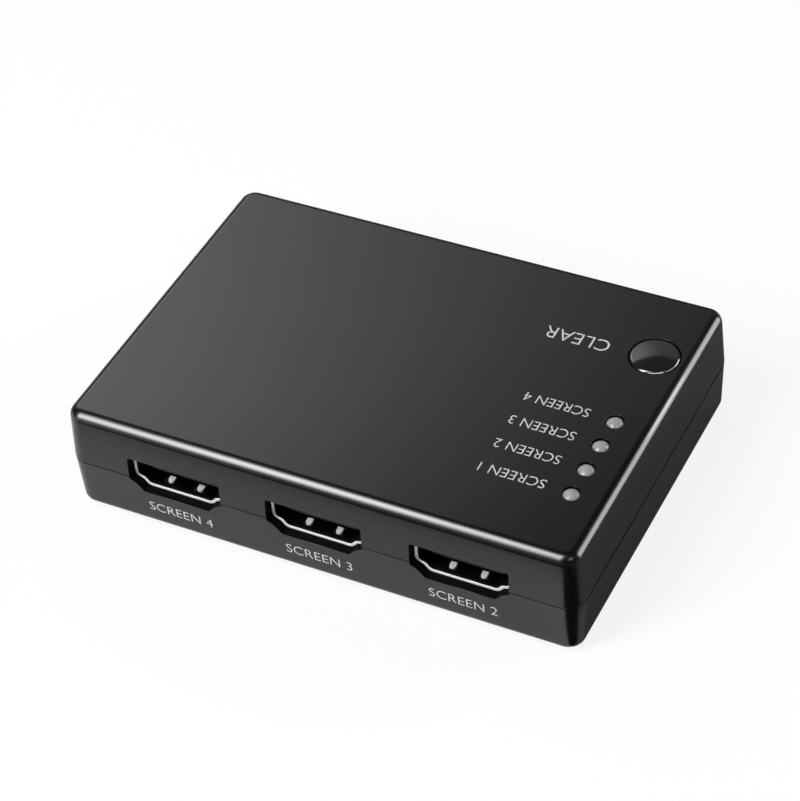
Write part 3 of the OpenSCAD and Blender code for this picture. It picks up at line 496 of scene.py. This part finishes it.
# Inductor and ceramic capacitors
# The inductor is a block of sintered grey ferrite powder. The capacitors are small fired bricks
# of tan ceramic. Both have a dry, slightly pitted skin.
def fired_skin(name, dark, light):
    """A dry sintered or fired surface with fine pits."""
    material, shader, place = new_finish(name, {"Specular IOR Level": 0.3})
    pits = noise(place, 3800.0, 5.0)
    place.feed(shader.inputs["Base Color"], blend(pits, dark, light))
    place.feed(shader.inputs["Roughness"], 0.6 + 0.25 * pits)
    place.feed(shader.inputs["Normal"], relief(pits, 0.5, 0.03 * MM))
    return material


dress(fired_skin("ferrite", (0.030, 0.030, 0.031, 1), (0.070, 0.070, 0.070, 1)), "power_inductor")
dress(fired_skin("ceramic", (0.34, 0.23, 0.12, 1), (0.46, 0.33, 0.19, 1)), "ceramic_capacitors")


# Leads, legs and drawn cans
# Leads and springs are stamped from tinned strip and soldered. The crystal's and the capacitors'
# cans are drawn from thin bright metal, with faint lines along the draw.
def bright_metal(name, dark, light, roughness, lines, metallic=1.0):
    """Plated or drawn metal: a faint stretch of fine lines in its colour, gloss and relief."""
    material, shader, place = new_finish(name, {"Metallic": metallic})
    stretched = place.node("ShaderNodeMapping", {}, {"Vector": place, "Scale": lines})
    streak = noise(stretched, 1500.0, 3.0)
    place.feed(shader.inputs["Base Color"], blend(streak, dark, light))
    place.feed(shader.inputs["Roughness"], roughness + 0.12 * streak)
    place.feed(shader.inputs["Normal"], relief(streak, 0.15, 0.01 * MM))
    return material


sockets = (*front_sockets, *rear_sockets)
tinned = bright_metal("tinned_strip", (0.62, 0.62, 0.63, 1), (0.76, 0.76, 0.77, 1), 0.24, (1, 1, 0.15))
dress(tinned, "chip_leads", "memory_leads", "regulator_leads", "led_leads", "switch_legs", "switch_cover",
      "power_jack_pin", "power_jack_spring")
drawn_can = bright_metal("drawn_can", (0.66, 0.66, 0.67, 1), (0.80, 0.80, 0.81, 1), 0.2, (1, 1, 0.1))
dress(drawn_can, "crystal_can", "capacitor_cans")
gilt = bright_metal("gilt", (0.72, 0.50, 0.18, 1), (0.84, 0.62, 0.28, 1), 0.22, (1, 0.15, 1))
dress(gilt, "switch_dome", *[name + "_contacts" for name in sockets])


# Inner plastic parts
# The sockets' tongues, the switch's body and the small bases are moulded in black nylon, which is
# a little duller than the box. They hold the metal parts by slots and press fits.
inner_black = moulded_black("inner_black", (0.006, 0.006, 0.0065, 1), (0.011, 0.011, 0.0115, 1),
                            roughness=0.5, spread=0.1, grain_depth=0.02 * MM)
dress(inner_black, "switch_plunger", "switch_body", "crystal_base", "capacitor_bases",
      *[name + "_insulator" for name in sockets])


# Socket shells
# Each is folded from plated steel sheet round the opening of a standard video socket, with its
# mouth flared and two sprung tongues cut in its floor. Its legs are soldered into the board. Behind
# the bright rim, its inside and the rear part of its tongues are painted shade in near-black metal.
spring_side = 2.5 * MM
spring_half = 0.5 * MM
spring_tip = 0.7 * MM
spring_reach = 2.1 * MM
spring_rise = 0.6 * MM
inside_half = 7.25 * MM
inside_low = 7.9 * MM
inside_high = 12.95 * MM
rim_break = 0.06 * MM
rim_flare = 0.15 * MM
rim_half = 7.55 * MM
rim_half_high = 2.825 * MM
rim_mid = 10.425 * MM
rim_y = mouth_y + rim_flare
rim_depth = 1.05 * rim_break
plated = bright_metal("plated_sheet", (0.74, 0.74, 0.75, 1), (0.86, 0.86, 0.87, 1), 0.16, (1, 0.12, 1))
satin_tin = bright_metal("satin_tin", (0.92, 0.92, 0.92, 1), (0.99, 0.99, 0.99, 1), 0.42, (1, 1, 1), 0.3)
# Painted shade: a near-black metal that keeps the inside of each shell dark.
shell_painted_shade = bright_metal("shell_painted_shade", (0.020, 0.020, 0.021, 1), (0.035, 0.035, 0.036, 1),
                           0.3, (1, 0.12, 1))


def at_mouth(vertex):
    """True on the front edge of a shell as the CAD node has it."""
    return abs(abs(vertex.co.y) - mouth_y) < touch


def outer_rim(vertex, x):
    """True on the outer edge of the mouth of the shell at x."""
    away = Vector((vertex.co.x - x, 0, vertex.co.z - rim_mid))
    return at_mouth(vertex) and any(
        abs(face.normal.y) < 0.9 and face.normal.dot(away) > 0 for face in vertex.link_faces)


for name, x in (*front_sockets.items(), *rear_sockets.items()):
    side = -1 if name in front_sockets else 1
    sheet_piece = worked_copy(name + "_shell", name + "_sheet")
    weld_points(sheet_piece)
    bpy.ops.object.mode_set(mode="OBJECT")
    edit(sheet_piece, "VERT", lambda vertex: outer_rim(vertex, x))
    bpy.ops.transform.resize(value=(1 + rim_flare / rim_half, 1, 1 + rim_flare / rim_half_high),
                             center_override=(x, side * mouth_y, rim_mid))
    bpy.ops.object.mode_set(mode="OBJECT")
    edit(sheet_piece, "VERT", at_mouth)
    bpy.ops.transform.translate(value=(0, side * rim_flare, 0))
    bpy.ops.object.mode_set(mode="OBJECT")
    break_edges(sheet_piece, rim_break,
                lambda edge: all(abs(abs(v.co.y) - rim_y) < touch for v in edge.verts))
    edit(sheet_piece, "FACE", lambda face: True)
    # The tongues are cut where their bright tips end, and their rear part gets the painted shade.
    bpy.ops.mesh.bisect(plane_co=(x, side * (mouth_y - spring_reach), opening_floor), plane_no=(0, 1, 0),
                        threshold=fine_cut)
    bpy.ops.object.mode_set(mode="OBJECT")
    put_on(sheet_piece, "housing", plated, "socket_steel", name + "_shell")
    sheet_piece.data.materials.append(satin_tin)
    # Painted shade on the inside of the shell and on the rear part of its tongues.
    finish_faces(sheet_piece, shell_painted_shade, lambda face: all(
        abs(v.co.x - x) < inside_half and inside_low < v.co.z < inside_high for v in face.verts))
    finish_faces(sheet_piece, satin_tin, lambda face: all(
        abs(v.co.y) > rim_y - rim_depth for v in face.verts))
    finish_faces(sheet_piece, satin_tin, lambda face: all(
        abs(abs(v.co.x - x) - spring_side) < spring_half and abs(v.co.z - opening_floor) < spring_rise
        and spring_tip < mouth_y - abs(v.co.y) < spring_reach + touch for v in face.verts))


# Power jack
# A black nylon block with a round nose that stands through the rear wall, a plated pin in its
# bore and a side spring. It is soldered to the board by its tails.
nose_y = mouth_y + 1 * MM
nose_break = 0.12 * MM
jack_body = worked_copy("power_jack_body", "jack_block")
break_edges(jack_body, nose_break, lambda edge: min(v.co.y for v in edge.verts) > nose_y)
put_on(jack_body, "housing", inner_black, "black_plastic", "power_jack_body")


# Lamps
# Four round lenses of milky resin over the light-emitting chips, one for each output. Each is cast
# in one with its rim, with a domed top that stands a little above the cover.
lamp_x = 35.5 * MM
lamp_places = [-16.5 * MM, -11.17 * MM, -5.84 * MM, -0.51 * MM]
lens_r = 1.35 * MM
lens_rim = 0.3 * MM
lens_low = 15.2 * MM
lens_rim_top = 16.0 * MM
lens_top = 19.5 * MM
lens_crown = 0.75 * MM
lens_eye = 0.35
dome_steps = 8


def turned_form(name, x, y, radius, levels, sides=64):
    """A round solid about an upright axis, raised through levels from a disc."""
    bpy.ops.object.select_all(action="DESELECT")
    bpy.ops.mesh.primitive_circle_add(vertices=sides, radius=radius, fill_type="NGON",
                                      enter_editmode=True, location=(x, y, levels[0][1]))
    piece = bpy.context.object
    piece.name = name
    bpy.ops.mesh.select_all(action="SELECT")
    raise_through(levels)
    return close_up(piece)


def ball_radius(reach, rise):
    """The radius of the ball whose cap has this reach from its axis and this rise."""
    return (reach ** 2 + rise ** 2) / (2 * rise)


lens_ball = ball_radius(lens_r, lens_crown)
lens_levels = [
    (0, lens_low),
    (0, lens_rim_top),
    (lens_rim, lens_rim_top),
    (lens_rim, lens_top - lens_crown),
]
for step in range(1, dome_steps + 1):
    reach = lens_r * math.cos(math.radians(90) * step / (dome_steps + lens_eye))
    rise = math.sqrt(lens_ball ** 2 - reach ** 2)
    lens_levels.append((lens_rim + lens_r - reach, lens_top - lens_ball + rise))
first_lens = turned_form("lens_1", lamp_x, lamp_places[0], lens_r + lens_rim, lens_levels)
smooth(first_lens)
milky, shader, place = new_finish("milky_resin", {
    "Subsurface Weight": 0.35, "Subsurface Scale": 0.6 * MM, "Subsurface Radius": (1.0, 1.0, 0.95),
    "IOR": 1.5})
haze = noise(place, 1100.0, 3.0)
place.feed(shader.inputs["Base Color"], blend(haze, (0.27, 0.27, 0.267, 1), (0.34, 0.34, 0.335, 1)))
place.feed(shader.inputs["Roughness"], 0.16 + 0.08 * haze)
place.feed(shader.inputs["Normal"], relief(noise(place, 3000.0), 0.1, 0.01 * MM))
for number, y in enumerate(lamp_places, 1):
    lens = first_lens
    if number > 1:
        lens = own_copy(first_lens, f"lens_{number}")
        lens.data.transform(Matrix.Translation((0, y - lamp_places[0], 0)))
    put_on(lens, "housing", milky, "lens_resin", f"led_{number}")


# Top cover
# The upper half of the box, moulded as the lower one, with walls that lean in towards a flat top
# and a round edge along it. Screws from below hold it by four bosses under its top.
z_top = 19.2 * MM
z_ceiling = 17.6 * MM
top_edge_r = 1.6 * MM
cover_lean = math.tan(math.radians(3.2))
button_x = 35.5 * MM
button_y = 14.8 * MM
button_hole_r = 4.055 * MM
lens_hole_r = 1.43 * MM
hole_low = 15 * MM
collar_wall = 0.8 * MM
button_collar_low = 16.3 * MM
lens_collar_low = 16.6 * MM
cover_boss_r = 2.8 * MM
cover_boss_low = 7.8 * MM
thread_r = 1.33 * MM
thread_low = 6.8 * MM
thread_top = 13.9 * MM
lip_room = 0.7 * MM
lip_room_top = 10.85 * MM
rim_round = 0.2 * MM
hole_break = 0.03 * MM
opening_break = 0.05 * MM


def cover_in(z):
    """How far the upper half's wall stands in from the parting line's outline at a height."""
    return cover_lean * (z - z_split)


z_round = z_top - top_edge_r
cover_outside = [(0, z_split)]
for step in range(edge_steps + 1):
    turn = math.radians(90) * step / edge_steps
    z = z_round + top_edge_r * math.sin(turn)
    cover_outside.append((cover_in(z) + top_edge_r * (1 - math.cos(turn)), z))
cover_piece = box_form("upper_half", cover_outside)
edit(cover_piece, "EDGE", lambda edge: all(abs(v.co.z - z_split) < touch for v in edge.verts))
bpy.ops.mesh.bevel(offset=rim_round, segments=4, affect="EDGES")
bpy.ops.object.mode_set(mode="OBJECT")
cover_inside = [
    (wall, z_split - over),
    (wall + cover_in(z_ceiling - inner_r), z_ceiling - inner_r),
    (wall + cover_in(z_ceiling) + inner_r, z_ceiling),
]
combine(cover_piece, "DIFFERENCE", box_form("room", cover_inside))
combine(cover_piece, "DIFFERENCE",
        box_form("lip_room", [(lip_room, z_split - over), (lip_room, lip_room_top)]))
lens_places = [(lamp_x, y) for y in lamp_places]
button_place = [(button_x, button_y)]
in_top = z_ceiling + 0.5 * MM
above = z_top + over
button_collar_r = button_hole_r + collar_wall
lens_collar_r = lens_hole_r + collar_wall
combine(cover_piece, "UNION", round_bars("bosses", cover_boss_r, cover_boss_low, in_top, screw_places))
combine(cover_piece, "UNION", round_bars("collar", button_collar_r, button_collar_low, in_top, button_place))
combine(cover_piece, "UNION", round_bars("collars", lens_collar_r, lens_collar_low, in_top, lens_places))
combine(cover_piece, "DIFFERENCE", round_bars("threads", thread_r, thread_low, thread_top, screw_places))
combine(cover_piece, "DIFFERENCE", round_bars("hole", button_hole_r, hole_low, above, button_place, 96))
combine(cover_piece, "DIFFERENCE", round_bars("holes", lens_hole_r, hole_low, above, lens_places, 48))
cut_openings(cover_piece)


def cover_rim(edge):
    """True on the outer edges of the upper half: round its openings and the holes in its top."""
    return all(abs(inset_at(v.co.x, v.co.y) - cover_in(v.co.z)) < on_wall
               or abs(v.co.z - z_top) < on_face for v in edge.verts)


def under_cover(vertex):
    """True inside the upper half: within its walls, or below its top and in from its round edge."""
    depth = skin if vertex.co.z < z_round else 2 * top_edge_r
    return inset_at(vertex.co.x, vertex.co.y) > cover_in(vertex.co.z) + depth


break_edges(cover_piece, hole_break, lambda edge: cover_rim(edge) and edge.verts[0].co.z > z_round + over)
break_edges(cover_piece, opening_break, lambda edge: cover_rim(edge) and edge.verts[0].co.z < z_round)
put_on(cover_piece, "housing", case_black, "cover_plastic", "top_cover")
# The same painted shade goes on the inside of the upper half and on the walls of its openings.
finish_faces(cover_piece, case_inside_painted_shade, lambda face: any(under_cover(v) for v in face.verts)
             and all(v.co.z < z_top - hair for v in face.verts))


# Reset button
# A crowned cap of the same plastic, moulded smoother than the box, with a round edge. Two stops
# under the cover keep it in its hole, and its stem rests on the switch.
cap_r = 3.875 * MM
cap_edge_r = 0.55 * MM
cap_crown = 0.2 * MM
cap_top = 19.6 * MM
cap_eye = 0.3
stop_low = 15.4 * MM
stop_high = 16.2 * MM
stop_w = 5 * MM
stop_reach = 4.975 * MM
stop_round = 0.6 * MM
stem_r = 2 * MM
stem_low = 12.8 * MM
stem_top = stop_low + 0.3 * MM
cap_shoulder = cap_top - cap_crown
cap_levels = [(0, stop_low), (0, cap_shoulder - cap_edge_r)]
for step in range(1, edge_steps + 1):
    turn = math.radians(90) * step / edge_steps
    cap_levels.append((cap_edge_r * (1 - math.cos(turn)), cap_shoulder - cap_edge_r * (1 - math.sin(turn))))
crown_reach = cap_r - cap_edge_r
crown_ball = ball_radius(crown_reach, cap_crown)
for step in range(1, dome_steps + 1):
    reach = crown_reach * (1 - step / (dome_steps + cap_eye))
    rise = math.sqrt(crown_ball ** 2 - reach ** 2)
    cap_levels.append((cap_r - reach, cap_top - crown_ball + rise))
cap = turned_form("reset_cap", button_x, button_y, cap_r, cap_levels, 96)
bpy.ops.object.select_all(action="DESELECT")
bpy.ops.mesh.primitive_cube_add(size=1, location=(button_x, button_y, (stop_low + stop_high) / 2),
                                scale=(stop_w, 2 * stop_reach, stop_high - stop_low))
stops = joined("stops", [bpy.context.object])
edit(stops, "EDGE", lambda edge: abs(edge.verts[0].co.z - edge.verts[1].co.z) > stop_w / 10)
bpy.ops.mesh.bevel(offset=stop_round, segments=4, affect="EDGES")
bpy.ops.object.mode_set(mode="OBJECT")
combine(cap, "UNION", stops)
combine(cap, "UNION", round_bars("stem", stem_r, stem_low, stem_top, button_place, 48))
smooth(cap)
cap_black = moulded_black("cap_black", (0.011, 0.011, 0.0112, 1), (0.015, 0.015, 0.0153, 1),
                          roughness=0.12, spread=0.02, grain_depth=0.002 * MM)
cap_shader = cap_black.node_tree.nodes["Principled BSDF"]
cap_shader.inputs["Coat Weight"].default_value = 0.8
cap_shader.inputs["Coat Roughness"].default_value = 0.05
put_on(cap, "button", cap_black, "button_plastic", "reset_button")


# Screws
# Four plated pan-head screws with a cross recess, driven up from below through the lower half's
# bosses and the board into the upper half.
screw_break = 0.07 * MM
screw_head_top = 2.2 * MM
screw_steel = bright_metal("screw_steel", (0.36, 0.36, 0.37, 1), (0.50, 0.50, 0.51, 1), 0.26, (1, 1, 1))
screws = worked_copy("case_screws", "screws")
break_edges(screws, screw_break, lambda edge: max(v.co.z for v in edge.verts) < screw_head_top)
put_on(screws, "housing", screw_steel, "screw_steel", "case_screws")


# Printing
# Thin light grey ink, pad printed on the cover and the walls: a plain word beside each socket,
# each lamp and the button. It stands no more than a few hundredths of a millimetre proud.
ink_half = 0.012 * MM
ink_thinning = -0.008
wall_word_z = 4.55 * MM
wall_word_h = 1.7 * MM
screen_w = 10.9 * MM
source_w = 8.6 * MM
power_w = 2.9 * MM
front_side = 0.3 * MM
lamp_word_x = 26.2 * MM
lamp_word_up = 0.2 * MM
lamp_word_w = 10.4 * MM
lamp_word_h = 1.8 * MM
reset_word = (23.2 * MM, 14.2 * MM)
reset_word_w = 10.4 * MM
reset_word_h = 2.5 * MM
ink, shader, place = new_finish("grey_ink", {"IOR": 1.45})
thin = noise(place, 2600.0, 4.0)
place.feed(shader.inputs["Base Color"], blend(thin, (0.44, 0.44, 0.44, 1), (0.60, 0.60, 0.60, 1)))
place.feed(shader.inputs["Roughness"], 0.5 + 0.15 * thin)
place.feed(shader.inputs["Normal"], relief(thin, 0.2, 0.01 * MM))


def printed_word(name, word, cap_height, width, turn, place):
    """A word in ink: text made a mesh, drawn to its cap height and width, turned and set in place."""
    bpy.ops.object.select_all(action="DESELECT")
    bpy.ops.object.text_add()
    piece = bpy.context.object
    piece.data.body = word
    piece.data.extrude = 1.0
    piece.data.offset = ink_thinning
    bpy.ops.object.convert(target="MESH")
    piece = bpy.context.object
    piece.name = name
    low = Vector(piece.bound_box[0])
    high = Vector(piece.bound_box[6])
    scale = (width / (high.x - low.x), cap_height / (high.y - low.y), ink_half)
    piece.matrix_world = (Matrix.Translation(place) @ turn @ Matrix.Diagonal((*scale, 1))
                          @ Matrix.Translation(-(low + high) / 2))
    bpy.ops.object.transform_apply(location=True, rotation=True, scale=True)
    put_on(piece, "housing", ink, "cover_plastic")


half_turn = Matrix.Rotation(math.radians(180), 4, "Z")
front_turn = Matrix.Rotation(math.atan(base_lean), 4, "X") @ Matrix.Rotation(math.radians(90), 4, "X")
rear_turn = half_turn @ front_turn
wall_y = case_d / 2 - base_in(wall_word_z)
for name, x in front_sockets.items():
    printed_word("ink_" + name, "SCREEN " + name[-1], wall_word_h, screen_w, front_turn,
                 (x + front_side, -wall_y, wall_word_z))
rear_words = [
    ("output_1", "SCREEN 1", rear_sockets["output_1"], screen_w),
    ("input", "SOURCE", rear_sockets["input"], source_w),
    ("power", "5V", jack_x, power_w),
]
for name, word, x, width in rear_words:
    printed_word("ink_" + name, word, wall_word_h, width, rear_turn, (x, wall_y, wall_word_z))
for number, y in enumerate(lamp_places, 1):
    printed_word(f"ink_lamp_{number}", f"SCREEN {number}", lamp_word_h, lamp_word_w, half_turn,
                 (lamp_word_x, y + lamp_word_up, z_top))
printed_word("ink_reset", "CLEAR", reset_word_h, reset_word_w, half_turn, (*reset_word, z_top))


# Studio
# A white table in a dark room with five soft boxes: a tall one at the front left, a wide dim one at
# the rear left, and small ones at the front right, rear right and rear. Cloths that only the gloss of
# the plastic shows keep its walls dark; the black one at its front right corner and the two greys
# along its right wall are a painted shadow of the box on the table. Two tiny lamps draw the bright
# line round the button.
scene = bpy.context.scene
scene.view_settings.view_transform = "Standard"
table_z = -0.03 * MM
paper_glow = 0.85
cloth_z = 0.3 * MM
canopy_r = 2.0
canopy_low = 0.03
glint_radiance = 6.2


def grey(level):
    """A neutral colour of one level."""
    return (level, level, level, 1.0)


def seen_white(wire):
    """1 for rays that show the white surround: straight to the camera, mirrored or let through."""
    path = wire.tree.nodes.new("ShaderNodeLightPath")
    rays = [Wire(wire.tree, path.outputs[name])
            for name in ("Is Camera Ray", "Is Glossy Ray", "Is Transmission Ray")]
    total = rays[0] + rays[1] + rays[2]
    return total > 0.5


world = bpy.data.worlds.new("room")
scene.world = world
world.use_nodes = True
room = Wire(world.node_tree)
room_light = world.node_tree.nodes["Background"]
room.feed(room_light.inputs["Color"], blend(seen_white(room), grey(0.06), grey(1.0)))

bpy.ops.mesh.primitive_plane_add(size=6.0, location=(0, 0, table_z))
table = bpy.context.object
table.name = "table"
paper, shader, place = new_finish("white_paper", {
    "Base Color": grey(0.86), "Roughness": 0.9, "Specular IOR Level": 0.0})
paper_white = place.node("ShaderNodeEmission", {}, {"Color": grey(1.0), "Strength": 1.0})
paper_mix = place.node("ShaderNodeMixShader", {}, {
    0: paper_glow * seen_white(place), 1: Wire(paper.node_tree, shader.outputs[0]), 2: paper_white})
place.feed(paper.node_tree.nodes["Material Output"].inputs["Surface"], paper_mix)
table.data.materials.append(paper)


def cloth(name, level):
    """Dull cloth of one grey."""
    material, shader, place = new_finish(name, {"Roughness": 1.0, "Specular IOR Level": 0.0})
    threads = noise(place, 900.0)
    place.feed(shader.inputs["Base Color"], blend(threads, grey(0.8 * level), grey(1.2 * level)))
    return material


def hang(piece, name, material):
    """Makes a stage piece of cloth that only reflections show."""
    piece.name = name
    piece.data.materials.append(material)
    piece.visible_camera = False
    piece.visible_diffuse = False
    piece.visible_transmission = False
    piece.visible_shadow = False


black = cloth("black_cloth", 0.004)
bpy.ops.object.select_all(action="DESELECT")
bpy.ops.mesh.primitive_uv_sphere_add(radius=canopy_r, enter_editmode=True)
bpy.ops.mesh.select_all(action="SELECT")
bpy.ops.mesh.bisect(plane_co=(0, 0, canopy_low), plane_no=(0, 0, 1), clear_inner=True)
bpy.ops.object.mode_set(mode="OBJECT")
hang(bpy.context.object, "canopy", black)


def floor_cloth(name, x_low, x_high, y_low, y_high, material):
    """A rectangle of cloth laid on the table."""
    bpy.ops.object.select_all(action="DESELECT")
    bpy.ops.mesh.primitive_plane_add(size=1, enter_editmode=True,
                                     location=((x_low + x_high) / 2, (y_low + y_high) / 2, cloth_z))
    bpy.ops.transform.resize(value=(x_high - x_low, y_high - y_low, 1))
    bpy.ops.object.mode_set(mode="OBJECT")
    hang(bpy.context.object, name, material)


floor_cloth("front_cloth", -0.075, 0.8, -0.8, -0.049, black)
floor_cloth("near_cloth", -0.075, 0.0405, -0.049, -0.0285, cloth("pale_grey", 0.64))
floor_cloth("left_cloth", -0.8, -0.048, -0.018, 0.8, cloth("mid_grey", 0.4))
floor_cloth("rear_cloth", -0.048, 0.04, 0.035, 0.8, black)
# Painted shadow: these three cloths, seen only in reflections, stand in for the box's shadow on the table
# beside its right wall and front right corner.
floor_cloth("corner_painted_shadow", 0.0405, 0.064, -0.049, -0.0285, black)
floor_cloth("sill_painted_shadow", 0.0405, 0.0475, -0.0285, 0.06, cloth("sill_shadow_grey", 0.31))
floor_cloth("side_painted_shadow", 0.0475, 0.064, -0.0285, 0.06, cloth("side_shadow_grey", 0.195))
floor_cloth("far_cloth", 0.064, 0.8, -0.049, 0.8, cloth("far_grey", 0.22))


def area_lamp(name, place, facing, width, height, radiance):
    """A rectangular lamp that the camera doesn't see."""
    lamp = bpy.data.lights.new(name, "AREA")
    lamp.shape = "RECTANGLE"
    lamp.size = width
    lamp.size_y = height
    lamp.energy = radiance * width * height * math.pi
    holder = bpy.data.objects.new(name, lamp)
    scene.collection.objects.link(holder)
    holder.location = place
    holder.rotation_euler = facing.to_track_quat("-Z", "Y").to_euler()
    holder.visible_camera = False
    return holder


def soft_box(name, place, width, height, radiance, fade):
    """A lamp that faces the box. It fades from its middle along X (across), Y (up) or both."""
    lamp = area_lamp(name, place, -Vector(place), width, height, radiance).data
    lamp.use_nodes = True
    wire = Wire(lamp.node_tree)
    spot = wire.node("ShaderNodeNewGeometry", out="Parametric")
    level = wire.node("ShaderNodeValue")
    level.output.default_value = 1.0
    for axis in fade:
        share = wire.node("ShaderNodeSeparateXYZ", {}, {0: spot}, out=axis)
        wave = wire.node("ShaderNodeMath", {"operation": "SINE"}, {0: share * math.pi})
        level = level * (wave * wave)
    wire.feed(lamp.node_tree.nodes["Emission"].inputs["Strength"], level)


soft_box("front_left_box", (-0.310, -0.473, 0.566), 0.48, 1.4, 16.5, "XY")
soft_box("front_right_box", (0.493, -0.271, 0.568), 0.4, 0.4, 4.0, "XY")
soft_box("rear_right_box", (0.64, 0.577, 0.235), 0.5, 0.5, 5.8, "")
soft_box("rear_left_box", (-0.539, 0.437, 0.491), 0.94, 0.40, 1.75, "X")
soft_box("rear_box", (-0.06, 0.71, 0.46), 0.55, 0.36, 0.2, "")


def glint(name, bearing, reach, width, z_low, z_high):
    """A small lamp at a bearing and reach from the button, which only shows in the gloss of its cap."""
    outwards = Vector((math.cos(math.radians(bearing)), math.sin(math.radians(bearing)), 0))
    spot = Vector((button_x, button_y, (z_low + z_high) / 2)) + reach * outwards
    holder = area_lamp(name, spot, -outwards, width, z_high - z_low, glint_radiance)
    holder.visible_diffuse = False
    holder.visible_transmission = False


glint("near_glint", -65.1, 14 * MM, 15.2 * MM, 21.75 * MM, 30.3 * MM)
glint("right_glint", 0, 14 * MM, 13.5 * MM, 22.05 * MM, 25 * MM)

camera_place = Vector((148.94, -262.33, 287.34)) * MM
camera_turn = math.radians(29.633)
camera_dip = math.radians(42.519)
camera_roll = math.radians(-5.258)
camera_data = bpy.data.cameras.new("photo_camera")
camera_data.sensor_width = 36.0
camera_data.lens = 120.64
camera_data.clip_start = 0.01
camera = bpy.data.objects.new("photo_camera", camera_data)
scene.collection.objects.link(camera)
camera.matrix_world = (Matrix.Translation(camera_place) @ Matrix.Rotation(camera_turn, 4, "Z")
                       @ Matrix.Rotation(math.radians(90) - camera_dip, 4, "X")
                       @ Matrix.Rotation(camera_roll, 4, "Z"))
scene.camera = camera
